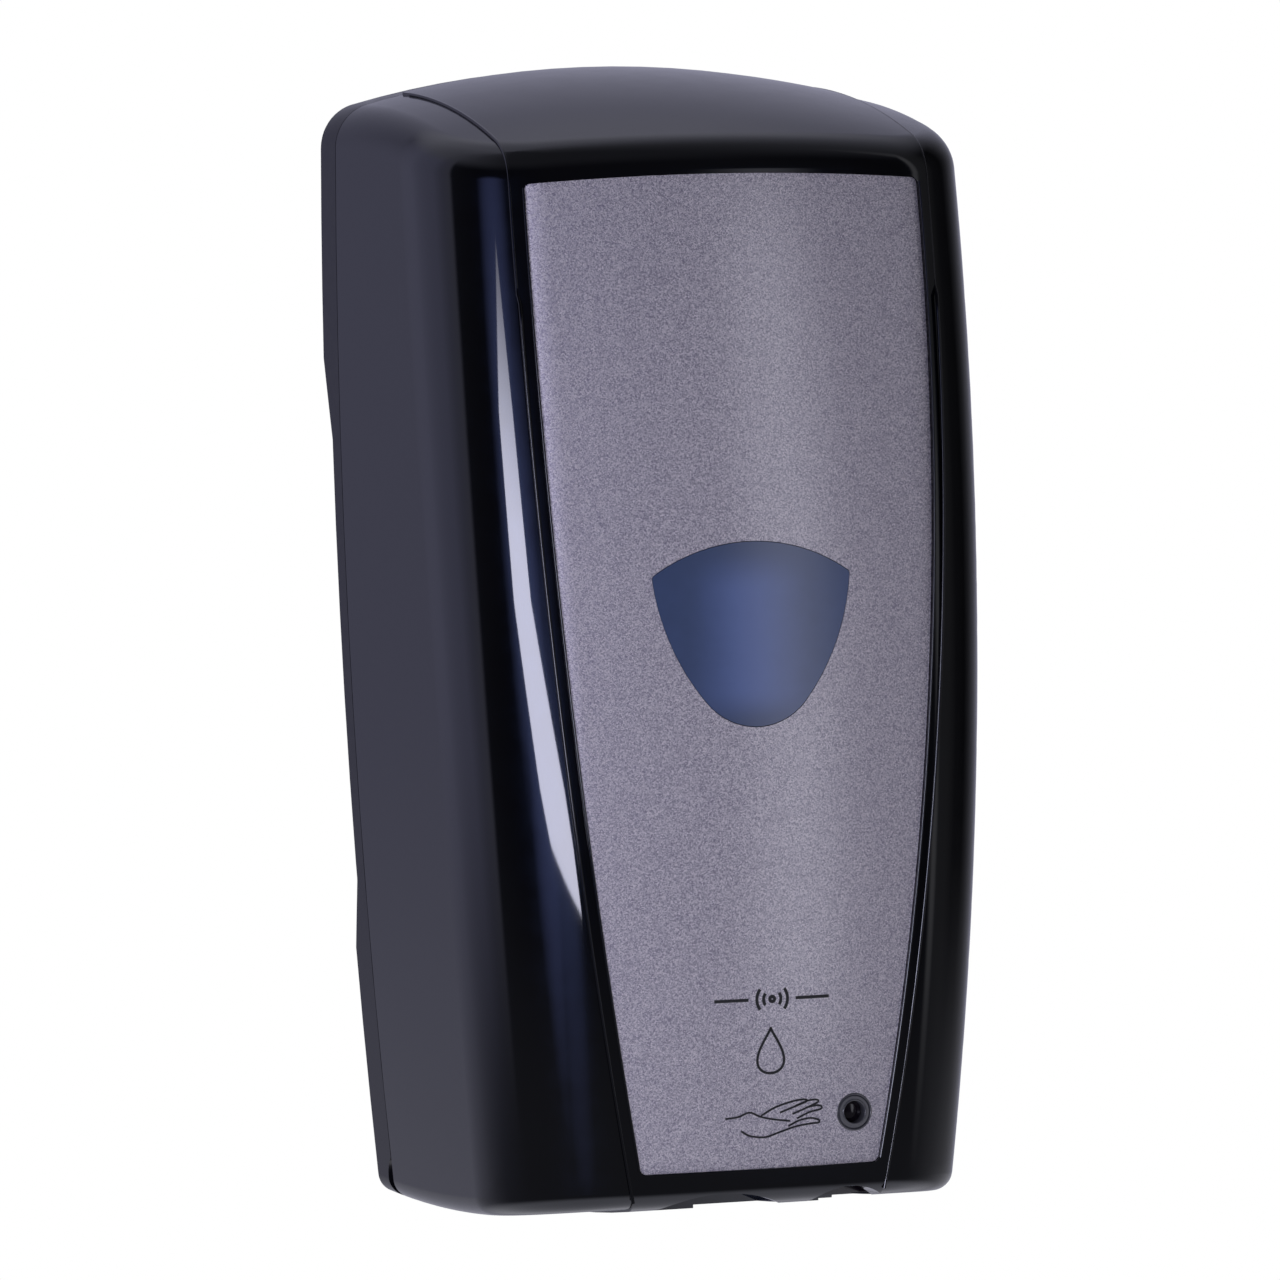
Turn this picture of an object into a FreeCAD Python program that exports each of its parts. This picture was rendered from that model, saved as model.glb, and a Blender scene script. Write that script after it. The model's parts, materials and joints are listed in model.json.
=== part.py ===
"""Wall mounted touch-free soap dispenser, as an assembly of separate pieces.

Frame: X to the right seen from the front, Y into the wall, Z up, in millimetres.
The origin is on the wall plane, at the centre of the four wall screw holes.
The front of the dispenser faces -Y.
"""
import FreeCAD
import Part
import Sketcher
import math
import os

V = FreeCAD.Vector

SIZES = {
    # outer form
    "half_width": 70.0, "side_radius": 2180.0, "widest_level": 79.5,
    "top_level": 135.5, "bottom_level": -135.5, "depth": 99.5,
    "front_radius": 1000.0, "forward_level": -50.5, "front_bow": 300.0,
    "crown_radius": 200.0, "foot_radius": 500.0, "foot_start": 30.0,
    "corner_radius": 30.0, "shoulder_radius": 11.0, "hem_radius": 5.0,
    # finger scoops along the rear edge, one on each side
    "scoop_in": 1.7, "scoop_deep": 5.7, "scoop_high": 67.0, "scoop_full_high": 43.0,
    "scoop_full_low": -55.0, "scoop_low": -75.0,
    # skins
    "wall": 2.6, "rim_depth": 10.0, "cover_gap": 0.3, "band_proud": 0.6,
    "panel_thickness": 1.2, "rebate": 1.8,
    "panel_half": 49.9, "panel_side_radius": 1200.0, "panel_level": 94.0, "band_margin": 3.0,
    "panel_high": 107.8, "panel_low": -123.4, "panel_arch": 690.0, "fit_gap": 0.12,
    "arch_rise": 3.2, "hem_level": -132.0,
    # sight window, a shield with a rounded lower tip
    "shield_half": 25.0, "shield_corner": 15.9, "shield_tip_half": 12.4, "shield_tip_level": -13.8,
    "shield_crown": 44.4, "shield_side": 54.0, "shield_tip": 16.3,
    # front indicator
    "indicator_x": 23.7, "indicator_z": -111.3, "bezel_radius": 4.4, "lens_radius": 2.6,
    # wall screws
    "screw_x": 42.0, "screw_z": 45.0, "screw_hole": 2.6,
    # cover hinge
    "hinge_y": -14.0, "hinge_z": -131.0, "hinge_pin": 1.5, "knuckle": 3.5, "running": 0.06,
    "lug_low": 43.0, "lug_high": 47.0, "heel": 7.0,
    # lock
    "lock_y": -5.2, "barrel_radius": 3.0, "lock_reach": 11.0,
    # chassis and reservoir
    "plate": 3.0, "chassis_back": -14.0, "chassis_half": 50.0, "shelf_top": -53.0,
    "shelf_front": -82.0, "tank_half": 54.0, "tank_back": -18.0, "tank_front": -79.0,
    "tank_low": -52.6, "tank_high": 96.0, "tank_wall": 2.0, "tank_corner": 20.0,
    "neck_radius": 17.0, "neck_y": -46.0, "spigot_radius": 5.0, "spigot_bore": 2.4,
    # pump line: everything from the tank spigot to the nozzle lies on x = 0
    "line_y": -66.0, "pump_z": -92.0, "pump_module": 1.2, "pump_teeth": 10.0,
    # gear train
    "gear_module": 0.8, "pinion_teeth": 10.0, "wheel_teeth": 32.0, "small_teeth": 12.0,
    "final_teeth": 30.0, "gear_back": -46.0, "axle": 1.5, "motor_radius": 10.2,
    # battery box
    "box_left": -52.0, "box_right": -16.0, "box_front": -52.0, "box_back": -20.0,
    "box_low": -126.0, "box_high": -66.0, "box_wall": 1.5,
    "cell_radius": 7.1, "cell_length": 49.0, "nub_radius": 2.7,
    # electronics
    "board_left": 19.5, "board_right": 51.0, "board_low": -116.0, "board_high": -66.0,
    "board_back": -63.0, "board_thickness": 1.6, "sensor_x": 28.5, "sensor_y": -75.0,
    "switch_travel": 3.0,
}


# ---------------------------------------------------------------- sizes and helpers

class Size:
    """A length that keeps both its value and the sheet expression it comes from."""

    def __init__(self, value, text):
        self.value = float(value)
        self.text = text

    def __add__(self, other):
        other = as_size(other)
        return Size(self.value + other.value, f"({self.text} + {other.text})")

    __radd__ = __add__

    def __neg__(self):
        return Size(-self.value, f"(0 - {self.text})")

    def __sub__(self, other):
        other = as_size(other)
        return Size(self.value - other.value, f"({self.text} - {other.text})")

    def __rsub__(self, other):
        return as_size(other) - self

    def __mul__(self, other):
        other = as_size(other)
        return Size(self.value * other.value, f"({self.text} * {other.text})")

    __rmul__ = __mul__

    def __truediv__(self, other):
        other = as_size(other)
        return Size(self.value / other.value, f"({self.text} / {other.text})")

    def root(self):
        return Size(math.sqrt(self.value), f"sqrt({self.text})")


def as_size(amount):
    if isinstance(amount, Size):
        return amount
    if amount < 0:
        return Size(amount, f"(0 - {-amount})")
    return Size(amount, str(amount))


doc = FreeCAD.newDocument("soap_dispenser")
sheet = doc.addObject("Spreadsheet::Sheet", "sizes")
for row, (alias, number) in enumerate(SIZES.items(), start=1):
    sheet.set(f"A{row}", alias)
    sheet.set(f"B{row}", str(number))
    sheet.setAlias(f"B{row}", alias)
doc.recompute()


def given(alias):
    """The sheet's size of that name."""
    return Size(sheet.get(alias), f"sizes.{alias}")


NODES = []


def node(thing, label):
    """Names a finished piece, which is written under that name."""
    thing.Label = label
    NODES.append(thing)
    return thing


def bind(thing, **properties):
    for name, amount in properties.items():
        thing.setExpression(name, as_size(amount).text)


def place(thing, x, y, z, turn=None):
    if turn is not None:
        thing.Placement = FreeCAD.Placement(V(0, 0, 0), turn)
    for axis, amount in zip("xyz", (x, y, z)):
        thing.setExpression(f"Placement.Base.{axis}", as_size(amount).text)


def box(name, xs, ys, zs):
    """A block between pairs of low and high coordinates."""
    block = doc.addObject("Part::Box", name)
    bind(block, Length=xs[1] - as_size(xs[0]), Width=ys[1] - as_size(ys[0]), Height=zs[1] - as_size(zs[0]))
    place(block, xs[0], ys[0], zs[0])
    return block


TURNS = {
    "+X": FreeCAD.Rotation(V(0, 0, 1), V(1, 0, 0)),
    "-X": FreeCAD.Rotation(V(0, 0, 1), V(-1, 0, 0)),
    "+Y": FreeCAD.Rotation(V(0, 0, 1), V(0, 1, 0)),
    "-Y": FreeCAD.Rotation(V(0, 0, 1), V(0, -1, 0)),
    "+Z": FreeCAD.Rotation(),
    "-Z": FreeCAD.Rotation(V(1, 0, 0), 180),
}


def rod(name, radius, length, start, towards="+Z"):
    """A round bar from a start point towards one axis direction."""
    bar = doc.addObject("Part::Cylinder", name)
    bind(bar, Radius=radius, Height=length)
    place(bar, *start, TURNS[towards])
    return bar


def cone(name, first, second, length, start, towards="+Z"):
    taper = doc.addObject("Part::Cone", name)
    bind(taper, Radius1=first, Radius2=second, Height=length)
    place(taper, *start, TURNS[towards])
    return taper


def torus(name, ring, section, centre, towards="+Z"):
    loop = doc.addObject("Part::Torus", name)
    bind(loop, Radius1=ring, Radius2=section)
    place(loop, *centre, TURNS[towards])
    return loop


def fuse(name, *pieces):
    joined = doc.addObject("Part::MultiFuse", name)
    joined.Shapes = list(pieces)
    joined.Refine = True
    return joined


def cut(name, base, *tools):
    tool = tools[0] if len(tools) == 1 else fuse(f"{name}_tools", *tools)
    carved = doc.addObject("Part::Cut", name)
    carved.Base = base
    carved.Tool = tool
    return carved


def common(name, first, second):
    shared = doc.addObject("Part::Common", name)
    shared.Base = first
    shared.Tool = second
    return shared


def group(name, *pieces):
    """Identical or paired solids that share one node."""
    together = doc.addObject("Part::Compound", name)
    together.Links = list(pieces)
    return together


def tube(name, outer, bore, length, start, towards="+Z"):
    wall = rod(f"{name}_outside", outer, length, start, towards)
    hole = rod(f"{name}_inside", bore, length, start, towards)
    return cut(name, wall, hole)


# ---------------------------------------------------------------- sketch based features

def new_body(name):
    return doc.addObject("PartDesign::Body", name)


def sketch_on(body, name, plane, height=0.0):
    """A sketch on one of the body's own origin planes, raised along its normal."""
    drawing = body.newObject("Sketcher::SketchObject", name)
    support = [item for item in body.Origin.OriginFeatures if item.Role == plane][0]
    drawing.AttachmentSupport = [(support, "")]
    drawing.MapMode = "FlatFace"
    drawing.setExpression("AttachmentOffset.Base.z", as_size(height).text)
    drawing.AttachmentOffset = FreeCAD.Placement(V(0, 0, as_size(height).value), FreeCAD.Rotation())
    return drawing


def arc_through(start, end, radius, side):
    """The arc between two points that bulges to the left (side 1) or the right (side -1)."""
    chord = end - start
    half = chord.Length / 2
    sagitta = radius - math.sqrt(radius * radius - half * half)
    left = V(-chord.y, chord.x, 0).normalize()
    middle = (start + end) / 2 + left * sagitta * side
    return Part.Arc(start, middle, end) if side < 0 else Part.Arc(end, middle, start)


def end_at(drawing, edge, point):
    """Which end of a sketch edge, 1 or 2, lies at the point."""
    return 1 if (drawing.Geometry[edge].StartPoint - point).Length < 1e-6 else 2


def fix_point(drawing, edge, end, x, y):
    """Holds an edge's end at coordinates taken from the sheet."""
    for kind, amount, axis in (("DistanceX", x, -2), ("DistanceY", y, -1)):
        if abs(amount.value) < 1e-9:
            drawing.addConstraint(Sketcher.Constraint("PointOnObject", edge, end, axis))
        else:
            rule = drawing.addConstraint(Sketcher.Constraint(kind, edge, end, amount.value))
            drawing.setExpression(f"Constraints[{rule}]", amount.text)


def draw_outline(drawing, corners, arcs=None):
    """A closed outline; arcs maps a corner's number to the (radius, side) of the edge after it."""
    arcs = arcs or {}
    places = [(as_size(x), as_size(y)) for x, y in corners]
    points = [V(x.value, y.value, 0) for x, y in places]
    edges = []
    for number, start in enumerate(points):
        end = points[(number + 1) % len(points)]
        if number in arcs:
            radius, side = arcs[number]
            edges.append(drawing.addGeometry(arc_through(start, end, as_size(radius).value, side)))
        else:
            edges.append(drawing.addGeometry(Part.LineSegment(start, end)))
    for number, point in enumerate(points):
        before, after = edges[number - 1], edges[number]
        end = end_at(drawing, after, point)
        joint = Sketcher.Constraint("Coincident", before, end_at(drawing, before, point), after, end)
        drawing.addConstraint(joint)
        fix_point(drawing, after, end, *places[number])
    for number, (radius, side) in arcs.items():
        rule = drawing.addConstraint(Sketcher.Constraint("Radius", edges[number], as_size(radius).value))
        drawing.setExpression(f"Constraints[{rule}]", as_size(radius).text)


def draw_circle(drawing, radius, x=0.0, y=0.0):
    x, y, radius = as_size(x), as_size(y), as_size(radius)
    ring = drawing.addGeometry(Part.Circle(V(x.value, y.value, 0), V(0, 0, 1), radius.value))
    fix_point(drawing, ring, 3, x, y)
    rule = drawing.addConstraint(Sketcher.Constraint("Radius", ring, radius.value))
    drawing.setExpression(f"Constraints[{rule}]", radius.text)


def add_feature(body, kind, name, drawing, **properties):
    made = body.newObject(f"PartDesign::{kind}", name)
    made.Profile = drawing
    bind(made, **properties)
    return made


def turn_feature(body, kind, name, drawing, axis, angle=360.0, midplane=False):
    """A revolution or groove about the sketch's axis of that name."""
    made = body.newObject(f"PartDesign::{kind}", name)
    made.Profile = drawing
    made.ReferenceAxis = (drawing, [axis])
    made.Midplane = midplane
    made.Angle = angle
    return made


def edges_where(shape, wanted):
    """Names of the edges whose middle point and box pass the test."""
    names = []
    for number, edge in enumerate(shape.Edges, start=1):
        low, high = edge.ParameterRange
        if wanted(edge.valueAt((low + high) / 2), edge.BoundBox):
            names.append(f"Edge{number}")
    return names


def round_edges(body, name, feature, radius, wanted):
    doc.recompute()
    rounding = body.newObject("PartDesign::Fillet", name)
    rounding.Base = (feature, edges_where(feature.Shape, wanted))
    bind(rounding, Radius=radius)
    return rounding


def turned(name, outline, at, towards="+Z", arcs=None):
    """A turned piece: an outline of (radius, height) corners revolved about its axis."""
    body = new_body(name)
    drawing = sketch_on(body, f"{name}_section", "XZ_Plane")
    draw_outline(drawing, outline, arcs)
    turn_feature(body, "Revolution", f"{name}_turning", drawing, "V_Axis")
    place(body, *at, TURNS[towards])
    return body


def padded(name, plane, height, corners, thickness, arcs=None):
    """A plate: an outline on an origin plane, raised and thickened along its normal."""
    body = new_body(name)
    drawing = sketch_on(body, f"{name}_outline", plane, height)
    draw_outline(drawing, corners, arcs)
    add_feature(body, "Pad", f"{name}_plate", drawing, Length=thickness)
    return body


# ---------------------------------------------------------------- the outer form

half_width = given("half_width")
wall = given("wall")
TOP_STATIONS = ((-6.0, 240.0), (30.0, 265.0), (62.0, 320.0), (94.0, 420.0), (120.0, 480.0))
REACH = 150.0
CROWN_HALF = 90.0
SKY = 170.0


def fall(radius, distance):
    """How far a circle has dropped at that distance from its highest point."""
    return radius - (radius * radius - distance * distance).root()


def half_at(level, inset=0.0):
    """Half the dispenser's width at a level."""
    return half_width - inset - fall(given("side_radius") - inset, as_size(level) - given("widest_level"))


def depth_at(level, inset=0.0):
    """How far the middle of the front stands off the wall at a level."""
    return given("depth") - inset - fall(given("front_radius") - inset,
                                         as_size(level) - given("forward_level"))


def crown_at(distance, inset=0.0):
    """The level of the top on the middle line, at a distance from the wall."""
    return given("top_level") - inset - fall(given("crown_radius"), as_size(max(distance, 0.0)))


def outer_form(name, inset):
    """The dispenser's whole outer form as one solid, with its skin moved inwards by the inset."""
    inset = as_size(inset)
    body = new_body(name)
    side = given("side_radius") - inset
    drawing = sketch_on(body, f"{name}_front_view", "XZ_Plane")
    low, high = half_at(-REACH, inset), half_at(REACH, inset)
    draw_outline(drawing, [(-low, -REACH), (low, -REACH), (high, REACH), (-high, REACH)],
                 {1: (side, -1), 3: (side, -1)})
    add_feature(body, "Pad", f"{name}_block", drawing, Length=given("depth") + 15.0)

    drawing = sketch_on(body, f"{name}_side_view", "YZ_Plane")
    near, far, clear = depth_at(-REACH, inset), depth_at(REACH, inset), given("depth") + 40.0
    draw_outline(drawing, [(-near, -REACH), (-far, REACH), (-clear, REACH), (-clear, -REACH)],
                 {0: (given("front_radius") - inset, 1)})
    axis_y = given("front_bow") - given("depth")
    axis = drawing.addGeometry(Part.LineSegment(V(axis_y.value, -50, 0), V(axis_y.value, 50, 0)), True)
    fix_point(drawing, axis, 1, axis_y, as_size(-50.0))
    fix_point(drawing, axis, 2, axis_y, as_size(50.0))
    turn_feature(body, "Groove", f"{name}_bow", drawing, "Axis0", 60.0, midplane=True)

    sections = []
    for distance, radius in TOP_STATIONS:
        arch = as_size(radius) - inset
        crown = crown_at(distance, inset)
        edge = crown - fall(arch, as_size(CROWN_HALF))
        drawing = sketch_on(body, f"{name}_arch_{len(sections) + 1}", "XZ_Plane", distance)
        draw_outline(drawing,
                     [(-CROWN_HALF, edge), (CROWN_HALF, edge), (CROWN_HALF, SKY), (-CROWN_HALF, SKY)],
                     {0: (arch, 1)})
        sections.append(drawing)
    crown_cut = body.newObject("PartDesign::SubtractiveLoft", f"{name}_crown")
    crown_cut.Profile = sections[0]
    crown_cut.Sections = sections[1:]

    drawing = sketch_on(body, f"{name}_underside", "YZ_Plane")
    base = given("bottom_level") + inset
    foot, start = given("foot_radius"), given("foot_start")
    rear, front = as_size(20.0), as_size(-130.0)
    draw_outline(drawing, [(rear, base + fall(foot, rear + start)), (front, base + fall(foot, front + start)),
                           (front, -SKY), (rear, -SKY)], {0: (foot, 1)})
    underside = add_feature(body, "Pocket", f"{name}_foot", drawing)
    underside.Type = "ThroughAll"
    underside.Midplane = True

    last = round_edges(body, f"{name}_corners", underside, given("corner_radius") - inset,
                       lambda at, span: abs(at.x) > 45 and at.y < -70 and span.ZLength > 150)
    last = round_edges(body, f"{name}_shoulder", last, given("shoulder_radius") - inset,
                       lambda at, span: at.z > 90 and span.YMin < -1 and span.ZLength < 60)
    round_edges(body, f"{name}_hem", last, given("hem_radius") - inset,
                lambda at, span: at.z < -110 and span.YMin < -1 and span.ZLength < 30)
    doc.recompute()
    return body


def slab(name, front, back):
    """A block as wide and high as the whole dispenser, between two distances from the wall."""
    return box(name, (-CROWN_HALF, CROWN_HALF), (-as_size(front), -as_size(back)), (-SKY, SKY))


outside = outer_form("outside", 0.0)
inside = outer_form("inside", wall)
band_skin = outer_form("band_skin", -given("band_proud"))
panel_floor = outer_form("panel_floor", given("panel_thickness"))
band_floor = outer_form("band_floor", given("rebate"))


# ---------------------------------------------------------------- rear housing and hinge

rim = given("rim_depth")
cover_back = rim + given("cover_gap")
hinge = (given("hinge_y"), given("hinge_z"))
screw_x, screw_z = given("screw_x"), given("screw_z")
SCREW_CORNERS = ((-1, -1), (1, -1), (1, 1), (-1, 1))
CHASSIS_SCREWS = ((-40.0, -62.0), (40.0, -62.0), (-40.0, -122.0), (40.0, -122.0))


def both_sides(low, high):
    """The same stretch of X on the left and on the right."""
    low, high = as_size(low), as_size(high)
    return ((-high, -low), (low, high))


def rear_scoops():
    """What the finger scoops take off the rear edge of both sides."""
    deep = -given("scoop_deep")
    block = padded("scoop_block", "YZ_Plane", -CROWN_HALF,
                   [(0.0, given("scoop_high")), (deep, given("scoop_full_high")),
                    (deep, given("scoop_full_low")), (0.0, given("scoop_low"))], 2 * CROWN_HALF)
    low, high = half_at(-REACH, given("scoop_in")), half_at(REACH, given("scoop_in"))
    side = given("side_radius") - given("scoop_in")
    core = padded("scoop_core", "XZ_Plane", -1.0,
                  [(-low, -REACH), (low, -REACH), (high, REACH), (-high, REACH)], 20.0,
                  {1: (side, -1), 3: (side, -1)})
    return cut("rear_scoops", block, core)


def rear_housing():
    skin = common("housing_skin", outside, slab("housing_slab", rim, 0.0))
    hollow = common("housing_hollow", inside, slab("housing_hollow_slab", 60.0, wall))
    tray = cut("housing_tray", skin, hollow)
    plate_front = -wall + 0.4
    boss = box("lock_boss", (-6.5, 6.5), (-rim, plate_front), (122.0, 133.4))
    knuckle = given("knuckle")
    solids = [tray, boss]
    for xs in both_sides(given("lug_low"), given("lug_high")):
        side = "left" if xs[0].value < 0 else "right"
        solids.append(box(f"lug_arm_{side}", xs, (hinge[0], plate_front),
                          (hinge[1] - knuckle, hinge[1] + knuckle)))
        solids.append(rod(f"lug_eye_{side}", knuckle, xs[1] - xs[0], (xs[0], *hinge), "+X"))
    for x, z in CHASSIS_SCREWS:
        solids.append(rod(f"boss_{len(solids)}", 4.0, plate_front - given("chassis_back"),
                          (x, plate_front, z), "-Y"))
    holes = [rod("hinge_bore", given("hinge_pin") + given("running"), 120.0, (-60.0, *hinge), "+X"),
             rod("lock_bore", given("barrel_radius") + given("running"), 20.0,
                 (0.0, given("lock_y"), 118.0)),
             box("lock_recess", (-15.0, 15.0), (-8.6, -1.8), (133.7, 145.0))]
    for number, (across, up) in enumerate(SCREW_CORNERS, start=1):
        holes.append(rod(f"wall_screw_hole_{number}", given("screw_hole"), 12.0,
                         (screw_x * across, -6.0, screw_z * up), "+Y"))
        holes.append(cone(f"wall_screw_sink_{number}", 4.6, given("screw_hole"), 1.2,
                          (screw_x * across, -wall, screw_z * up), "+Y"))
    for number, (x, z) in enumerate(CHASSIS_SCREWS, start=1):
        holes.append(rod(f"pilot_{number}", 1.4, 11.0, (x, given("chassis_back") - 1.0, z), "+Y"))
    heel = rod("heel_clearance", given("heel"), 180.0, (-90.0, *hinge), "+X")
    solids[0] = cut("housing_heeled", tray, heel, rear_scoops())
    return node(cut("rear_housing", fuse("housing_solid", *solids), *holes), "rear_housing")


def hinge_pins():
    pins = []
    for number, xs in enumerate(both_sides(given("lug_low") - 0.5, 52.5), start=1):
        pins.append(rod(f"hinge_pin_{number}", given("hinge_pin"), xs[1] - xs[0], (xs[0], *hinge), "+X"))
    return node(group("hinge_pins", *pins), "hinge_pins")


# ---------------------------------------------------------------- front cover

panel_side = given("panel_side_radius")


def panel_half(level, margin=0.0):
    """Half the width of the face panel at a level, with a margin added all round."""
    return given("panel_half") + margin - fall(panel_side + margin, as_size(level) - given("panel_level"))


def strip_prism(name, margin):
    """The tapered strip down the middle of the front, cut straight through the dispenser."""
    low, high, side = panel_half(-REACH, margin), panel_half(REACH, margin), panel_side + margin
    return padded(name, "XZ_Plane", cover_back,
                  [(-low, -REACH), (low, -REACH), (high, REACH), (-high, REACH)],
                  given("depth"), {1: (side, -1), 3: (side, -1)})


def panel_prism(name, gap):
    """The face panel's outline as a prism, with small round corners."""
    low_z, high_z = given("panel_low") - gap, given("panel_high") + gap
    low, high, side = panel_half(low_z, gap), panel_half(high_z, gap), panel_side + gap
    prism = padded(name, "XZ_Plane", 60.0, [(-low, low_z), (low, low_z), (high, high_z), (-high, high_z)],
                   60.0,
                   {1: (side, -1), 2: (given("panel_arch"), -1), 3: (side, -1)})
    round_edges(prism, f"{name}_corners", prism.Tip, 1.6 + gap, lambda at, span: span.YLength > 50)
    return prism


def shield_prism(name, gap):
    """The sight window's outline as a prism: an arched top and bowed sides that meet in a round tip."""
    half, corner = given("shield_half") + gap, given("shield_corner") + gap
    tip_half, tip = given("shield_tip_half") + gap, given("shield_tip_level") - gap
    corners = [(-half, corner), (-tip_half, tip), (tip_half, tip), (half, corner)]
    side = (given("shield_side") + gap, -1)
    prism = padded(name, "XZ_Plane", 60.0, corners, 60.0,
                   {0: side, 1: (given("shield_tip") + gap, -1), 2: side,
                    3: (given("shield_crown") + gap, -1)})
    round_edges(prism, f"{name}_corners", prism.Tip, 1.2, lambda at, span: span.YLength > 50 and at.z > 0)
    return prism


gap = given("fit_gap")
band_prism = strip_prism("band_prism", given("band_margin"))
panel_cut = panel_prism("panel_cut", gap)
shield_cut = shield_prism("shield_cut", gap)
indicator = (given("indicator_x"), given("indicator_z"))
NOZZLE_MOUTH = ((-14.0, 14.0), (-92.0, -60.0), (-SKY, -124.0))
SENSOR_MOUTH = ((20.5, 36.5), (-84.5, -65.5), (-SKY, -124.0))
# low arches that bring the two mouths out through the lower front edge: (middle, half width, how far back)
NOZZLE_ARCH = (-9.5, 15.0, -88.0)
SENSOR_ARCH = (23.0, 9.5, -82.0)


def hem_arch(name, middle, half, back):
    """A low arch through the lower front edge, cut by a large round bar that runs from front to back."""
    rise = given("arch_rise")
    radius = (half * half + rise * rise) / (2 * rise)
    return rod(name, radius, 130.0 + back, (middle, back, given("hem_level") + rise - radius), "-Y")


def front_openings(name):
    """The window, indicator, nozzle and sensor openings, which pass through every skin of the cover."""
    return [shield_cut,
            rod(f"{name}_indicator_hole", given("bezel_radius") + gap, 60.0,
                (indicator[0], -60.0, indicator[1]), "-Y"),
            box(f"{name}_nozzle_mouth", *NOZZLE_MOUTH),
            box(f"{name}_sensor_mouth", *SENSOR_MOUTH),
            hem_arch(f"{name}_nozzle_arch", *NOZZLE_ARCH),
            hem_arch(f"{name}_sensor_arch", *SENSOR_ARCH)]


def cover_shell():
    front = slab("cover_slab", 140.0, cover_back)
    shell = cut("cover_skin", common("cover_block", outside, front), inside)
    rebate = cut("cover_rebate", strip_prism("rebate_prism", given("band_margin") + gap), band_floor)
    knuckle = given("knuckle")
    solids = [cut("cover_rebated", shell, rebate),
              box("lock_rib", (-3.5, 3.5), (-13.2, -11.5), (121.8, 133.2))]
    for xs in both_sides(given("lug_high") + 1.0, 53.0):
        side = "left" if xs[0].value < 0 else "right"
        solids.append(rod(f"knuckle_{side}", knuckle, xs[1] - xs[0], (xs[0], *hinge), "+X"))
        solids.append(box(f"knuckle_foot_{side}", xs, (hinge[0] - knuckle, hinge[0] + knuckle),
                          (hinge[1] - knuckle, hinge[1])))
    holes = front_openings("cover")
    holes.append(rod("cover_pin_bore", given("hinge_pin") + given("running"), 107.0, (-53.5, *hinge), "+X"))
    for xs in both_sides(given("lug_low") - 0.6, given("lug_high") + 0.6):
        side = "left" if xs[0].value < 0 else "right"
        holes.append(box(f"lug_notch_{side}", xs, (-19.0, -8.0), (-145.0, -126.0)))
    return node(cut("cover_shell", fuse("cover_solid", *solids), *holes), "cover_shell")


def centre_band():
    raised = common("band_block", band_skin, band_prism)
    pocket = cut("panel_pocket", panel_cut, panel_floor)
    return node(cut("centre_band", raised, band_floor, pocket, *front_openings("band")), "centre_band")


def face_panel():
    plate = common("panel_block", panel_prism("panel_outline", 0.0), outside)
    return node(cut("face_panel", plate, panel_floor, shield_cut,
                    rod("panel_indicator_hole", given("bezel_radius") + gap, 60.0,
                        (indicator[0], -60.0, indicator[1]), "-Y")), "face_panel")


def sight_window():
    pane = common("window_block", shield_prism("window_outline", 0.0), outside)
    return node(cut("sight_window", pane, inside), "sight_window")


def indicator_pieces():
    face = -(depth_at(given("indicator_z")) - fall(given("front_bow"), given("indicator_x"))) - 0.3
    bezel, lens = given("bezel_radius"), given("lens_radius")
    start = (indicator[0], face, indicator[1])
    node(turned("indicator_bezel",
                [(lens, 0.9), (lens + 0.4, 0.0), (bezel - 0.7, 0.0), (bezel, 0.7), (bezel, 4.6),
                                    (lens, 4.6)], start, "+Y"), "indicator_bezel")
    node(turned("indicator_lens", [(0.0, 1.7), (lens - gap, 2.1), (lens - gap, 4.4), (0.0, 4.4)], start,
                "+Y",
                {0: (10.0, -1)}), "indicator_lens")


# ---------------------------------------------------------------- lock

lock_y = given("lock_y")


def lock():
    """A key lock: the cam's upturned finger swings in front of the cover's rib when it is turned."""
    radius = given("barrel_radius")
    barrel = rod("barrel_body", radius, 134.6 - 121.4, (0.0, lock_y, 121.4))
    slot = box("key_slot", (-1.9, 1.9), (lock_y - 0.5, lock_y + 0.5), (132.4, 140.0))
    node(cut("lock_barrel", barrel, slot), "lock_barrel")
    reach = given("lock_reach")
    arm = fuse("cam_solid",
               rod("cam_hub", radius - 0.1, 2.0, (0.0, lock_y, 119.3)),
               box("cam_arm", (0.0, reach + 1.4), (lock_y - 1.8, lock_y + 1.8), (119.3, 121.3)),
               box("cam_finger", (reach - 1.4, reach + 1.4), (lock_y - 1.8, lock_y + 1.8), (121.0, 125.0)))
    node(arm, "lock_cam")


# ---------------------------------------------------------------- chassis

line_y = given("line_y")
shelf = given("shelf_top")
plate = given("plate")


def chassis():
    back = given("chassis_back")
    half = given("chassis_half")
    upright = box("chassis_upright", (-half, half), (back - plate, back), (-127.0, shelf))
    deck = box("chassis_shelf", (-half - 2.0, half + 2.0), (given("shelf_front"), back),
               (shelf - plate, shelf))
    socket = rod("tank_socket", 8.0, 13.0, (0.0, line_y, shelf), "-Z")
    nipple = rod("socket_nipple", 3.0, 7.0, (0.0, line_y, shelf - 12.0), "-Z")
    lip = box("shelf_lip", (-34.0, 34.0), (given("shelf_front"), given("shelf_front") + 2.0),
              (shelf, shelf + 3.0))
    holes = [rod("socket_bore", given("spigot_radius") + 0.3, 12.0, (0.0, line_y, shelf + 1.0), "-Z"),
             rod("nipple_bore", 1.8, 40.0, (0.0, line_y, shelf), "-Z")]
    for number, (x, z) in enumerate(CHASSIS_SCREWS, start=1):
        holes.append(rod(f"chassis_hole_{number}", 1.7, 10.0, (x, back - plate - 2.0, z), "+Y"))
    return node(cut("chassis", fuse("chassis_solid", upright, deck, socket, nipple, lip), *holes),
                "chassis")


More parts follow.
